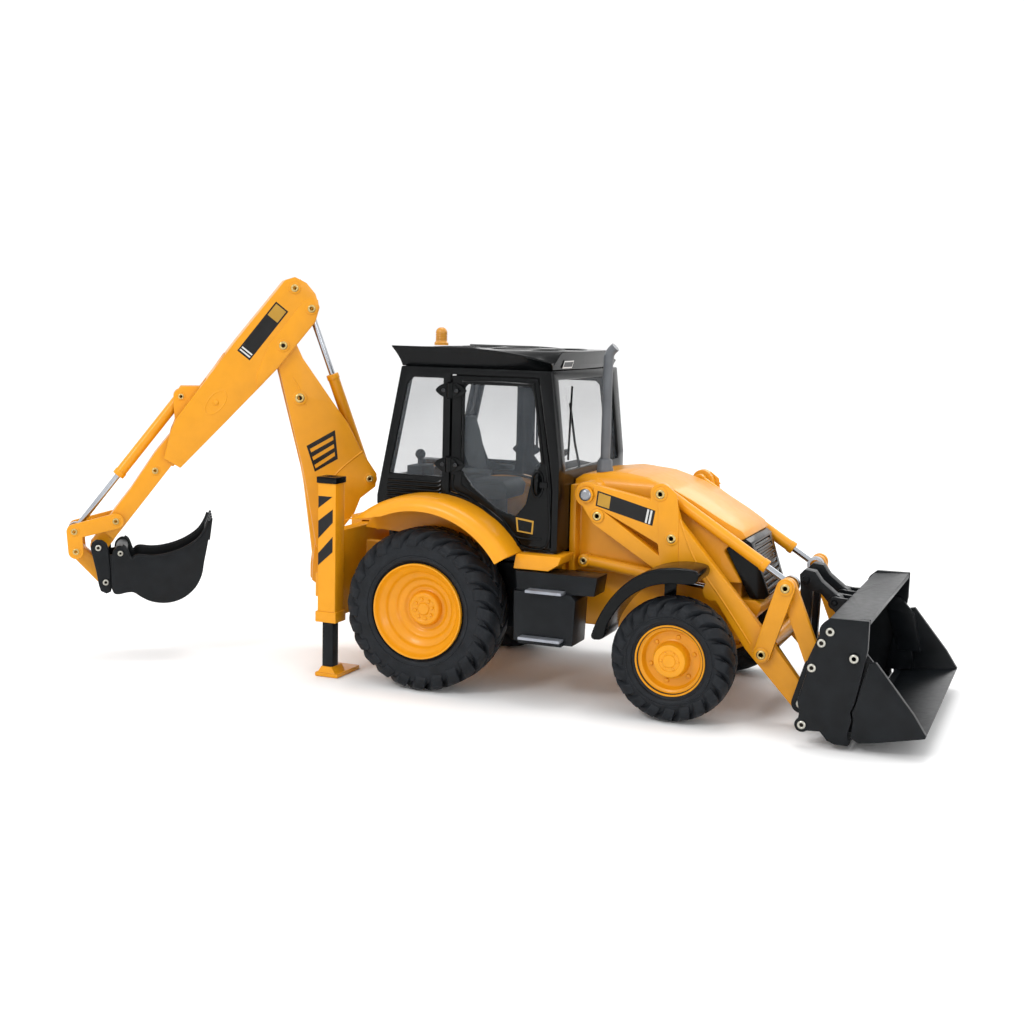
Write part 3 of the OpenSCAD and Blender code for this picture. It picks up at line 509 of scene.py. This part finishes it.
FRONT_DISH = [(8.2, -1.0), (8.2, -0.1), (8.1, 0), (7.9, 0), (7.75, -0.2), (7.6, -0.8), (7.3, -1.1),
              (6.9, -1.25), (6.75, -1.6), (6.6, -2.4), (6.3, -2.7), (5.2, -2.75), (4.5, -2.7), (4.2, -2.5),
              (4.0, -1.6), (3.85, -0.2), (3.65, 0.2), (3.3, 0.35), (2.5, 0.38), (2.35, 0.2), (1.5, 0.2),
              (1.35, 0.4), (0, 0.46)]
FRONT_BACK = [(0, -5.4), (3, -5.4), (6, -5.4), (7.2, -6), (7.4, -7.4), (8.2, -7.4), (8.2, -6.6), (7.6, -6.5),
              (7.6, -1.0)]


def bump(r, h, x, y, z):
    return turned(lathe([(r, -0.2), (r, h * 0.55), (r * 0.8, h * 0.9), (r * 0.4, h), (0, h)], 16),
                  moved(x, y, z))


def rim_look(node, dish, back, place, bolts):
    bm = lathe(dish[::-1] + [(a, b) for a, b in back[::-1]], 96)
    parts = [bm]
    for count, radius, size, h, z, start in bolts:
        for k in range(count):
            a = 2 * PI * k / count + start
            parts.append(bump(size, h, radius * math.cos(a), radius * math.sin(a), z))
    settle(join(*parts), node + "_look", BODY[node], YELLOW, [node], 40, place)


for side, hand in SIDES:
    tyre_look(f"rear_tyre_{hand}", REAR_R, 6.3, 11.0, wheel_place(0, REAR_R, side, 26.2), 24, 1.35, 1.25)
    tyre_look(f"front_tyre_{hand}", FRONT_R, 4.7, 7.6, wheel_place(WHEELBASE, FRONT_R, side, 26.3), 20, 1.15,
              1.1)
    rim_look(f"rear_rim_{hand}", REAR_DISH, REAR_BACK, wheel_place(0, REAR_R, side, 32.5),
             [(8, 2.3, 0.42, 0.3, -3.95, 0.2)])
    rim_look(f"front_rim_{hand}", FRONT_DISH, FRONT_BACK, wheel_place(WHEELBASE, FRONT_R, side, 30),
             [(6, 5.25, 0.5, 0.35, -2.7, 0.3), (6, 1.95, 0.34, 0.22, 0.2, 0.0)])

# ---- rounded copies of the CAD pieces ----

for node, width in (
    ("chassis_frame", 0.3), ("rear_frame", 0.3), ("bonnet", 0.45), ("cab_frame", 0.35),
    ("cab_floor", 0.25), ("cab_controls", 0.3), ("driver_seat", 0.8), ("step_boxes", 0.3),
    ("step_treads", 0.15), ("stabiliser_housings", 0.22), ("housing_caps", 0.25), ("loader_arms", 0.28),
    ("tilt_levers", 0.25), ("tilt_links", 0.25), ("loader_bucket", 0.16), ("bucket_jaw", 0.16),
    ("pallet_forks", 0.25), ("sideshift_carriage", 0.2), ("kingpost", 0.2),
    ("boom", 0.25), ("dipper_outer", 0.22), ("dipper_inner", 0.2), ("tipping_levers", 0.2),
    ("tipping_link", 0.2), ("boom_cylinder", 0.12), ("dipper_cylinder", 0.12), ("dig_cylinder", 0.12),
    ("lift_cylinders", 0.12), ("tilt_cylinders", 0.12), ("door_right", 0.28), ("door_left", 0.28),
):
    softened(node, width)
for hand in ("right", "left"):
    # black leg on a yellow foot
    leg = softened(f"stabiliser_leg_{hand}", 0.18, mat=[BLACK, YELLOW])
    for f in leg.data.polygons:
        f.material_index = 1 if f.center.z < 2.62 * MM else 0


# ---- rivets, in the plane they sit on ----

for side in (-1, 1):
    for p in ((55.5, 50.5), (58.5, 40.4), (40.3, 44.3)):
        rivet("arms", p, side * 19.45, side)
    for p in ((80.9, 16), (85.6, 31.6)):
        rivet("tilt_levers", p, side * 21.15, side)
    for p in ((90.3, 5.8), (92.7, 14.2)):
        rivet("loader_bucket", p, side * 20.7, side, dark=True)
    for p in ((93.1, 4.7), (98.1, 25.6), (94.6, 17.4), (96.4, 23.0)):
        rivet("loader_bucket", p, side * BUCKET_FACE, side, r=0.95, dark=True)
    rivet("bucket_jaw", (103.4, 20.4), side * 33.95, side, r=1.0, dark=True)
    rivet("chassis", (36.2, 32.9), side * 16.35, side, r=0.95)
    rivet("boom", (13.2, 67.9), side * 4.35, side, r=1.25, base=SWUNG)
    rivet("boom", (-5.3, 46.7), side * 4.35, side, r=0.95, base=SWUNG)
    rivet("boom", DIPPER_PIVOT, side * 5.55, side, r=1.1, base=SWUNG)
    rivet("dipper_outer", (-12, 0.3), side * 5.55, side, r=1.05, base=DIPPER)
    rivet("dipper_outer", (-13.3, 6.9), side * 5.55, side, r=1.0, base=DIPPER)
    rivet("kingpost", (6.2, 30), side * 4.55, side, r=0.9, base=SWUNG)
    rivet("dipper_inner", (26.6, 11.7), side * 2.55, side, r=0.75, base=DIPPER)
    rivet("dipper_inner", (45.6, 5.0), side * 3.45, side, r=0.85, base=DIPPER)
    rivet("dipper_inner", (61.8, 4.7), side * 4.75, side, r=0.85, base=DIPPER)
    for p in ((70.2, 11.1), (74, 7.6)):
        rivet("tipping_levers", p, side * 4.75, side, r=0.85, base=DIPPER)
HITCH = (64.0575, 29.4205)
along, across = math.cos(math.radians(DIPPER_TILT)), math.sin(math.radians(DIPPER_TILT))
LINK_LOW = (DIPPER_PIVOT[0] + 75.5 * along - 2.9 * across, DIPPER_PIVOT[1] - 75.5 * across - 2.9 * along)
for side in (-1, 1):
    for p in (HITCH, LINK_LOW):
        rivet("digging_bucket", p, side * 6.5, side, r=0.8, base=SWUNG, dark=True)
    rivet("digging_bucket", (58.6, 28.2), side * 8.15, side, r=0.7, base=SWUNG, dark=True)
finish_rivets()


# ---- plain bands and stripes in place of marks ----

def flat(name, points, y, side, body, mat, base=None, thick=0.06):
    """A thin decal on the plane at y."""
    lo, hi = sorted((y, y + side * thick))
    bm = extruded(points, lo, hi)
    settle(bm, name, body, mat, matrix=base)


for side, hand in SIDES:
    flat(f"arm_band_{hand}", [(40.2, 50.3), (54.4, 46.6), (53.8, 43.0), (39.8, 46.7)], side * 19.16, side,
         "arms", DECAL)
    flat(f"arm_band_patch_{hand}", [(40.55, 49.85), (43.5, 49.1), (43.15, 46.2), (40.2, 46.95)], side * 19.2,
         side, "arms", GOLD)
    for k, x in enumerate((52.5, 53.3)):
        z = 46.85 - (x - 52.5) * 0.26
        end = [(x, z), (x + 0.45, z - 0.12), (x - 0.1, z - 3.3), (x - 0.55, z - 3.18)]
        flat(f"arm_band_end_{hand}_{k}", end, side * 19.2, side, "arms", PALE)
    flat(f"boom_band_{hand}", [(11.4, 55.4), (4.0, 59.6), (3.2, 52.0), (9.2, 48.6)], side * 4.18, side,
         "boom", DECAL, SWUNG)
    for k in range(3):
        d = 2.1 * k
        flat(f"boom_band_bar_{hand}_{k}", [(10.5 - 0.6 * k, 54.6 - d), (4.5 - 0.22 * k, 58.0 - d),
                                           (4.4 - 0.22 * k, 57.0 - d), (10.2 - 0.6 * k, 53.7 - d)],
             side * 4.22, side, "boom", YELLOW, SWUNG)
    flat(f"dipper_band_{hand}", [(-7.6, 8.4), (8.4, 8.2), (8.4, 4.2), (-7.6, 4.4)], side * 5.36, side,
         "dipper_outer", DECAL, DIPPER)
    flat(f"dipper_band_patch_{hand}", [(-7.2, 8.0), (-3.6, 7.96), (-3.6, 4.76), (-7.2, 4.8)], side * 5.4,
         side, "dipper_outer", GOLD, DIPPER)
    for k, x in enumerate((6.7, 7.5)):
        flat(f"dipper_band_end_{hand}_{k}", [(x, 7.85), (x + 0.4, 7.85), (x + 0.4, 4.6), (x, 4.6)],
             side * 5.4, side, "dipper_outer", PALE, DIPPER)
    flat(f"door_plate_{hand}", [(21.6, 43.2), (26.2, 42.6), (26.0, 39.4), (22.0, 39.8)], side * 23.93, side,
         f"{hand}_door", GOLD)
    flat(f"door_plate_inner_{hand}", [(22.1, 42.7), (25.8, 42.2), (25.6, 39.8), (22.4, 40.1)], side * 23.97,
         side, f"{hand}_door", GLOSS)
    stripes = [[(-28.45, 45.4), (-24.5, 45.4), (-28.45, 42.4)],
               [(-28.45, 39.2), (-24.4, 42.3), (-24.4, 39.0), (-28.45, 34.8)],
               [(-28.45, 31.1), (-24.4, 35.5), (-24.4, 31.7), (-28.45, 28.1)]]
    for k, s in enumerate(stripes):
        flat(f"stripe_{hand}_{k}", s, side * 29.98, side, "chassis", DECAL)

# ---- cab details ----

def border(points, width, y, side, height=0.3, closed=True):
    """A raised moulded line that follows an outline in [x, z] on the plane at y."""
    line = smooth_line(points, 5, closed)
    if closed:
        line = line + line[:1]
    return tube([(x, y + side * (height - width), z) for x, z in line], width, 8, caps=not closed)


for side, hand in SIDES:
    wall = side * CAB_WALL
    ribs = []
    for k in range(5):
        z = 46.0 + k * 1.0
        ribs.append(tube([(-12.6 + k * 0.1, wall, z), (-12.2, wall + side * 0.25, z),
                          (0.6, wall + side * 0.25, z), (1.6, wall + side * 0.2, z + 0.25),
                          (1.9, wall, z + 0.6)], 0.3, 8))
    settle(join(*ribs), f"louvres_{hand}", "chassis", GLOSS)
    # a strip behind the top edge of the door closes the gap above it
    low, high = span(side, 21.6, 22.1)
    settle(block((4.6, low, 75.1), (26.2, high, 77.4)), f"door_seal_{hand}", "chassis", GLOSS)
    door = f"{hand}_door"
    edge = [(5.2, 52.2), (5.2, 48.8), (9.6, 46.9), (14.4, 43.7), (18.2, 39.8), (21.2, 36.9), (29.6, 36.9),
            (29.6, 50), (28.9, 56)]
    inner = [(7.2, 52.6), (7.4, 49.9), (11.0, 47.9), (15.6, 45.0), (19.4, 41.2), (22.2, 38.4), (28.2, 38.4)]
    settle(join(border(edge, 0.32, wall, side, 0.3, False), border(inner, 0.3, wall, side, 0.28, False),
                border([(7.6, 55.2), (7.6, 72.4), (8.8, 74.6), (23.8, 74.6), (25.5, 73.4), (28.2, 56.2)],
                       0.34, wall, side, 0.3, False)), f"door_mouldings_{hand}", door, GLOSS)
    plates, fixed, screws = [], [], []
    for cx, cz in ((4.4, 72.4), (4.4, 54.7)):
        for reach, high, lift, thick in ((4.0, 1.9, 0.2, 0.7), (2.3, 1.75, 0.6, 0.65)):
            for way, store in ((1, plates), (-1, fixed)):
                nearest = 0.03 if way > 0 else 0.86
                pts = []
                for k in range(17):
                    out, rise = math.sin(PI * k / 16), math.cos(PI * k / 16)
                    pts.append((cx + way * max(reach * out, nearest),
                                cz + high * math.copysign(abs(rise) ** 1.4, rise)))
                y = wall + side * lift
                store.append(extruded(pts, *sorted((y, y + side * thick)), 0.2))
        plates.append(tube([(cx, side * HINGE_Y, cz - 1.7), (cx, side * HINGE_Y, cz + 1.7)], 0.74, 14))
        for dx in (-1.7, 1.7):
            head = [(0.45, -0.1), (0.45, 0.15), (0.32, 0.28), (0.2, 0.28), (0.14, 0.16), (0, 0.16)]
            screw = lathe(head, 16)
            screws.append((dx, turned(screw, moved(cx + dx, wall + side * 1.25, cz) @ OUT_Y[side])))
    settle(join(*plates), f"hinges_{hand}", door, GLOSS)
    settle(join(*fixed), f"hinge_plates_{hand}", "chassis", GLOSS)
    settle(join(*[s for dx, s in screws if dx > 0]), f"hinge_screws_{hand}", door, SCREW)
    settle(join(*[s for dx, s in screws if dx < 0]), f"hinge_plate_screws_{hand}", "chassis", SCREW)
    grip = ellipse(26.9, 51.4, 1.35, 3.0, 24)
    pull = tube([(26.9, wall + side * 0.3, 49.3), (27.0, wall + side * 1.0, 50),
                 (27.0, wall + side * 1.1, 51.5), (27.0, wall + side * 1.0, 53),
                 (26.9, wall + side * 0.3, 53.6)], 0.5, 10)
    settle(join(border(grip, 0.34, wall, side, 0.42), pull), f"handle_{hand}", door, GLOSS)


def rim_profile(u):
    """Height of the roof's side lip from the rear (0) to the front (1)."""
    return 4.8 - (0 if u < 0.42 else 2.9 * ((u - 0.42) / 0.58) ** 1.9)


def roof_section(u):
    h = rim_profile(u)
    top = 4.45
    back = min(h - 0.4, top)
    half = [(0, 0), (22.0, 0), (22.1, 0.12 * h), (22.3, 0.32 * h), (22.65, 0.55 * h), (23.05, 0.76 * h),
            (23.35, 0.88 * h), (23.5, 0.94 * h), (23.4, 0.985 * h), (23.1, h), (22.7, h - 0.03),
            (22.4, h - 0.25), (21.9, back), (20.9, back + (top - back) * 0.4),
            (19.9, back + (top - back) * 0.8), (19.0, top), (0, top)]
    ring = half[1:-1] + [(0, top)] + [(-y, z) for y, z in half[1:-1][::-1]] + [(0, 0)]
    pts = []
    for y, z in ring:
        rear = -10.0 - 2.4 * (max(z, 0) / 4.8) ** 1.4
        front = 29.4 + 1.2 * (z / 4.8) - 0.5 * (abs(y) / 23.5) ** 6
        pts.append((rear + (front - rear) * u, y, ROOF_Z + z))
    return pts


def loft(sections):
    bm = bmesh.new()
    rings = [[bm.verts.new(p) for p in s] for s in sections]
    for a, b in zip(rings, rings[1:]):
        for k in range(len(a)):
            j = (k + 1) % len(a)
            bm.faces.new((a[k], a[j], b[j], b[k]))
    bm.faces.new(rings[0][::-1])
    bm.faces.new(rings[-1])
    bmesh.ops.recalc_face_normals(bm, faces=bm.faces)
    return bm


roof = loft([roof_section(k / 30) for k in range(31)])
soften(roof, 0.3, 50, 3)
ovals = []
for cx, cy, rx, ry in ((-1.5, 8, 5.5, 6.5), (-1.5, -9, 5.5, 6.5), (11, 0, 5, 11), (22.5, -8, 3.6, 6),
                       (22.5, 8, 3.6, 6)):
    ring = ellipse(cx, cy, rx, ry, 32)
    ovals.append(tube([(x, y, 82.2) for x, y in ring + ring[:1]], 0.28, 8, caps=False))
settle(join(roof, *ovals), "roof_look", "chassis", GLOSS, ["roof"], 46)
plate = [(-16.6, 78.3), (-10.4, 78.3), (-10.2, 80.1), (-16.4, 80.1)]
for name, grow, x, mat in (("header_plate", 0.0, 0.0, PALE), ("header_plate_middle", 0.32, 0.03, GLOSS)):
    bm = bmesh.new()
    cy = sum(y for y, _ in plate) / 4
    cz = sum(z for _, z in plate) / 4
    vs = []
    for y, z in plate:
        y2 = y + math.copysign(grow, cy - y)
        z2 = z + math.copysign(grow, cz - z)
        x2 = 29.45 + 1.2 * (z2 - ROOF_Z) / 4.8 - 0.5 * (abs(y2) / 23.5) ** 6 + x
        vs.append(bm.verts.new((x2, y2, z2)))
    bm.faces.new(vs)
    out = bmesh.ops.extrude_face_region(bm, geom=bm.faces[:])
    moving = [g for g in out["geom"] if isinstance(g, bmesh.types.BMVert)]
    bmesh.ops.translate(bm, vec=(0.05, 0, 0), verts=moving)
    bmesh.ops.recalc_face_normals(bm, faces=bm.faces)
    settle(bm, name, "chassis", mat)

# windscreen wiper and its thin arm
settle(join(tube([(30.7, -4, 51.2), (30.5, -9, 60), (30.2, -12.5, 70)], 0.3, 8),
            tube([(30.75, -14.2, 56.5), (30.3, -11.6, 74)], 0.26, 8)), "wiper", "chassis", GLOSS)

# rear fenders: a rounded skin whose outer skirt is cut straight towards the rear
FENDER_TOP = 26.7
FENDER = [(24.3, 33.2), (24.9, 33.35), (25.8, 33.1), (26.8, 32.4), (27.5, 31.2), (27.8, 29.4), (27.9, 26),
          (27.9, 17.4), (FENDER_TOP, 17.4), (FENDER_TOP, 26), (26.5, 29.2), (25.9, 31), (25.1, 32),
          (24.3, 32.3)]
for side, hand in SIDES:
    sections = []
    for k in range(49):
        a = math.radians(33.5 + 99.5 * k / 48)
        low = 23.9 / (math.sin(a) + 0.16 * abs(math.cos(a))) if a > PI / 2 else 0
        ring = []
        for r, y in FENDER:
            reach = max(r, low if r < FENDER_TOP else low + 0.1)
            ring.append((reach * math.cos(a), side * y, REAR_R + reach * math.sin(a)))
        sections.append(ring)
    settle(loft(sections), f"fender_skin_{hand}", "chassis", YELLOW, ["rear_fenders"] if side < 0 else [], 50)
    wall = extruded([(-21.5, 36.8), (21, 34.8), (21.4, 36.6), (17.2, 40.6), (12, 44.2), (6, 46.2), (0, 46.7),
                     (-6, 46.2), (-12, 44.2), (-17.4, 40.4), (-20.5, 38.6)], *span(side, 17.5, 18.5), 0.15)
    settle(wall, f"wheel_well_{hand}", "chassis", YELLOW)
    # a black tank between the rear wheel and the step box
    low, high = span(side, 9.3, 17.2)
    settle(block((13.5, low, 15), (23.6, high, 30.9), 0.3), f"tank_{hand}", "chassis", BLACK)

# beacon: a domed lens with a ribbed skirt
lens = [(0, 0), (1.8, 0), (1.8, 0.6), (1.62, 0.8), (1.5, 1.0)]
for k in range(5):
    z = 1.1 + k * 0.42
    lens += [(1.5, z), (1.42, z + 0.14), (1.5, z + 0.28)]
lens += [(1.48, 3.3), (1.3, 3.9), (0.9, 4.3), (0.45, 4.48), (0, 4.5)]
settle(lathe(lens, 40), "beacon_look", "chassis", AMBER, ["beacon"], 30, moved(-8.6, -3, 82.6))

# exhaust: collar, pipe and a bent tip
pipe = [(38.4, -9.2, 56), (38.4, -9.2, 70), (38.4, -9.2, 80.2), (38.5, -9.2, 81.4), (39.1, -9.2, 82.6),
        (40.1, -9.2, 83.6)]
pipe = smooth_line(pipe, 6)
collar = turned(lathe([(0, 0), (2.0, 0), (2.0, 1.4), (1.8, 1.7), (1.75, 3.2), (1.5, 3.6), (1.2, 3.7)], 32),
                moved(38.4, -9.2, 53.2))
settle(join(tube(pipe, 1.15, 24), collar), "exhaust_look", "chassis", GREY, ["exhaust_pipe"])

# steering wheel with a round rim
ring = [(4.2 + 0.55 * math.cos(t), 0.55 * math.sin(t)) for t in [2 * PI * k / 16 for k in range(16)]]
wheel = lathe(ring, 48, closed=True)
hub = lathe([(0, -2), (0.7, -2), (0.7, -0.3), (1.1, 0), (1.0, 0.35), (0, 0.45)], 24)
spokes = [tube([(0, 0, 0), (4.1 * math.cos(math.radians(a)), 4.1 * math.sin(math.radians(a)), 0)], 0.34, 10)
          for a in (90, 210, 330)]
settle(join(wheel, hub, *spokes), "steering_wheel_look", "chassis", DARK, ["steering_wheel"], 40,
       moved(21.4, 0, 55) @ rot(-32, "Y"))

# grille: curved ribs on the CAD grille
bars = []
for k in range(9):
    z = 28.4 + k * 1.25
    x = 79.0 - (z - 27.4) * 0.36
    line = [(x - 1.9, -9.7, z + 0.2), (x - 0.3, -8.6, z + 0.1), (x + 0.25, -6, z), (x + 0.3, 0, z),
            (x + 0.25, 6, z), (x - 0.3, 8.6, z + 0.1), (x - 1.9, 9.7, z + 0.2)]
    bars.append(tube(smooth_line(line, 4), 0.38, 8))
softened("grille", 0.25)
settle(join(*bars), "grille_ribs", "chassis", GLOSS)

# front mudguards: thick and close to the tyre, with a rounded nose
GUARD = [(43.6, 17.6), (44.2, 20.4), (45.6, 23.6), (47.8, 27.2), (50.8, 30.6), (54.2, 33.2), (58.0, 34.9),
         (62.4, 35.7), (66.4, 35.6), (68.0, 34.9), (68.0, 33.3), (66.6, 32.2), (62.4, 32.0), (58.6, 31.4),
         (54.8, 29.8), (51.4, 27.2), (48.8, 23.8), (47.2, 20.8), (46.4, 17.8)]
guard = smooth_line(GUARD, 3, True)
for side, hand in SIDES:
    bar, post = span(side, 9, 20.4), span(side, 19.7, 20.5)
    parts = [extruded(guard, *span(side, 20.2, 30.6), 0.5, 3, 40),
             block((57, bar[0], 22.5), (62, bar[1], 24.5), 0.2),
             block((57.6, post[0], 22.5), (60.4, post[1], 32.6), 0.2)]
    settle(join(*parts), f"mudguard_{hand}", "chassis", GLOSS, ["front_mudguards"] if side < 0 else [], 40)

# arm pivot caps, tower plates and the line along the arms
for side, hand in SIDES:
    cap = turned(lathe([(1.45, -0.3), (1.45, 0.15), (1.2, 0.45), (0.8, 0.6), (0.3, 0.62), (0, 0.6)], 32),
                 moved(37.5, side * 20.3, 49.2) @ OUT_Y[side])
    settle(cap, f"arm_pivot_cap_{hand}", "chassis", STEEL)
    y = side * 19.15
    tower = extruded([(54.9, 50.4), (55.6, 52.3), (57.2, 52.5), (59.4, 50.8), (60.1, 45.0), (60.3, 34.6),
                      (59.0, 33.2), (56.2, 33.2), (55.5, 39.0)], *sorted((y - side * 0.2, y + side * 0.22)),
                     0.16)
    line = border([(60.3, 45.0), (62.4, 39.6), (64.8, 35.0), (70.2, 28.2), (78.0, 17.6)], 0.3, y, side, 0.2,
                  False)
    upper = border([(56.6, 50.0), (59.8, 49.6)], 0.2, y, side, 0.2, False)
    settle(join(tower, line, upper), f"arm_lines_{hand}", "arms", YELLOW, smooth=50)

# raised panel and oval on the dipper
for side, hand in SIDES:
    y = side * 5.3
    panel = extruded([(-14.8, 0.4), (-14.2, 2.3), (-12.2, 3.1), (2.0, 2.9), (10.2, 0.7), (12.6, -1.5),
                      (5.4, -2.4), (-9.8, -2.4), (-13.4, -1.0)], *sorted((y - side * 0.1, y + side * 0.22)),
                     0.12)
    oval = ellipse(22.2, 4.1, 3.6, 1.9, 20)
    dot = turned(lathe([(0.8, -0.1), (0.8, 0.1), (0.6, 0.3), (0, 0.34)], 20),
                 moved(22.2, y, 4.1) @ OUT_Y[side])
    settle(join(panel, border(oval, 0.25, y, side, 0.18), dot), f"dipper_mouldings_{hand}", "dipper_outer",
           YELLOW, smooth=50, matrix=DIPPER)
    rib = border([(15.0, 73.2), (13.4, 70.6), (11.6, 66.0)], 0.2, side * 4.2, side, 0.12, False)
    low = border([(-3.4, 54.0), (2.0, 49.6), (6.4, 44.2), (8.2, 38.0)], 0.28, side * 4.2, side, 0.16, False)
    settle(join(rib, low), f"boom_mouldings_{hand}", "boom", YELLOW, smooth=50, matrix=SWUNG)

# inner plates that close the split between the loader bucket and its jaw
for side, hand in SIDES:
    plate = extruded([(101.8, 4.0), (102.6, 8.8), (103.4, 13.5), (107.5, 13.5), (108.5, 4.7), (104.4, 3.9)],
                     *span(side, 30.9, 31.7), 0.1)
    settle(plate, f"jaw_inner_plate_{hand}", "bucket_jaw", BLACK)

# digging bucket: cheeks with a round lug and a notch, a rolled back, a beaded edge and teeth
CHEEK_TOP = [(60.7, 26.6), (60.5, 28.6), (59.6, 29.8), (58.5, 30.2), (57.4, 29.7), (56.8, 28.4), (56.3, 27.0),
             (55.7, 26.6), (55.1, 27.3), (54.0, 27.6), (51.4, 27.3), (48.6, 27.5), (45.6, 28.2), (43.0, 29.2),
             (40.6, 30.6), (38.7, 32.2), (37.3, 34.4), (36.5, 36.4)]
CHEEK_BACK = [(36.1, 36.2), (36.5, 32.6), (37.1, 29.2), (37.8, 25.6), (38.4, 22.2), (40.0, 19.0),
              (42.6, 16.6), (45.4, 15.4), (48.2, 15.1), (51.2, 15.6), (53.6, 16.8), (55.4, 18.0),
              (57.2, 18.0), (59.0, 17.6), (60.3, 17.9), (60.9, 19.4)]
top = smooth_line(CHEEK_TOP, 3)
back = smooth_line(CHEEK_BACK, 3)
parts = []
for side in (-1, 1):
    parts.append(extruded(top + back, *span(side, 7.1, 8.05), 0.14, 2, 50))
    parts.append(tube([(x, side * 7.75, z) for x, z in top[10:]], 0.42, 8))
    plate = [(66.0, 29.4), (65.6, 30.8), (64.6, 31.5), (63.2, 31.4), (62.0, 30.5), (61.5, 28.8), (61.1, 24),
             (60.9, 19.0), (61.1, 18.0), (62.2, 17.5), (63.6, 18.2), (64.1, 19.8), (64.6, 23.0)]
    parts.append(extruded(plate, *span(side, 5.2, 6.45), 0.3, 3))
    parts.append(extruded([(61.9, 27.4), (61.6, 20.2), (58.6, 19.0), (57.4, 22), (57.4, 26), (59, 28)],
                          *span(side, 5.4, 6.2), 0.15))
outer = back[2:]
inner = []
for i, q in enumerate(outer):
    a, b = Vector(outer[max(i - 1, 0)]), Vector(outer[min(i + 1, len(outer) - 1)])
    d = (b - a).normalized()
    inner.append((q[0] - d.y * 0.95, q[1] + d.x * 0.95))
parts.append(extruded(outer + inner[::-1], -7.4, 7.4, 0.0))
parts.append(extruded([(60.9, 19.4), (60.7, 26.6), (59.8, 26.6), (59.9, 19.0)], -7.4, 7.4))
parts.append(turned(lathe([(0, -7.2), (1.5, -7.2), (1.5, 7.2), (0, 7.2)], 24),
                    moved(58.6, 0, 28.2) @ OUT_Y[1]))
for p in (HITCH, LINK_LOW):
    parts.append(turned(lathe([(0, -5.3), (0.6, -5.3), (0.6, 5.3), (0, 5.3)], 20),
                        moved(p[0], 0, p[1]) @ OUT_Y[1]))
for y in (-7.0, -2.4, 2.4, 7.0):
    parts.append(extruded([(37.4, 31.2), (36.3, 31.4), (35.6, 36.9), (36.1, 37.1), (37.4, 33.8)], y - 0.85,
                          y + 0.85, 0.12))
settle(join(*parts), "digging_bucket_look", "digging_bucket", BLACK, ["digging_bucket"], 40, SWUNG)


# ---- studio ----

def studio():
    floor = lathe([(0, 0), (700, 0), (1300, 0), (1500, 20), (1650, 80), (1780, 200), (1850, 380), (1880, 600),
                   (1890, 900)], 96)
    for f in floor.faces:
        f.normal_flip()
    bmesh.ops.scale(floor, vec=(MM,) * 3, verts=floor.verts)
    me = bpy.data.meshes.new("studio_floor")
    for f in floor.faces:
        f.smooth = True
    floor.to_mesh(me)
    floor.free()
    me.materials.append(FLOOR)
    o = bpy.data.objects.new("studio_floor", me)
    o.location = (0.03, 0, -0.0001)
    bpy.context.scene.collection.objects.link(o)
    o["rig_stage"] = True
    world = bpy.data.worlds.new("studio")
    world.use_nodes = True
    back = world.node_tree.nodes["Background"]
    back.inputs["Color"].default_value = (1, 1, 1, 1)
    back.inputs["Strength"].default_value = 1.08
    bpy.context.scene.world = world
    for name, at, size, power, aim in (
        ("key", (-0.25, -0.85, 0.7), 0.26, 3.0, (0.0, 0, 0.04)),
        ("fill", (0.8, -0.45, 0.3), 0.3, 1.0, (0.04, 0, 0.03)),
        ("top", (0.05, 0.1, 0.9), 0.4, 2.2, (0.0, 0, 0.03)),
        ("back", (0.2, 0.8, 0.5), 0.4, 1.2, (0.0, 0, 0.04)),
    ):
        light = bpy.data.lights.new(name, "AREA")
        light.shape = "RECTANGLE"
        light.size = size
        light.size_y = size * 0.7
        light.energy = power
        lamp = bpy.data.objects.new(name, light)
        lamp.location = at
        lamp.rotation_euler = (Vector(aim) - Vector(at)).to_track_quat("-Z", "Y").to_euler()
        bpy.context.scene.collection.objects.link(lamp)


def camera():
    yaw, down, roll = math.radians(22.44), math.radians(7.72), math.radians(1.40)
    right = Vector((math.cos(yaw), math.sin(yaw), 0))
    ahead = Vector((-math.sin(yaw) * math.cos(down), math.cos(yaw) * math.cos(down), -math.sin(down)))
    up = right.cross(ahead)
    side = right * math.cos(roll) + up * math.sin(roll)
    top = up * math.cos(roll) - right * math.sin(roll)
    data = bpy.data.cameras.new("camera")
    data.sensor_width = 36
    data.lens = 49.92
    data.clip_start = 0.005
    data.clip_end = 20
    cam = bpy.data.objects.new("camera", data)
    m = Matrix((side, top, -ahead)).transposed().to_4x4()
    m.translation = Vector((0.14775, -0.33183, 0.08949))
    cam.matrix_world = m
    bpy.context.scene.collection.objects.link(cam)
    bpy.context.scene.camera = cam
    bpy.context.scene.view_settings.view_transform = "Standard"


studio()
camera()
low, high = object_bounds()
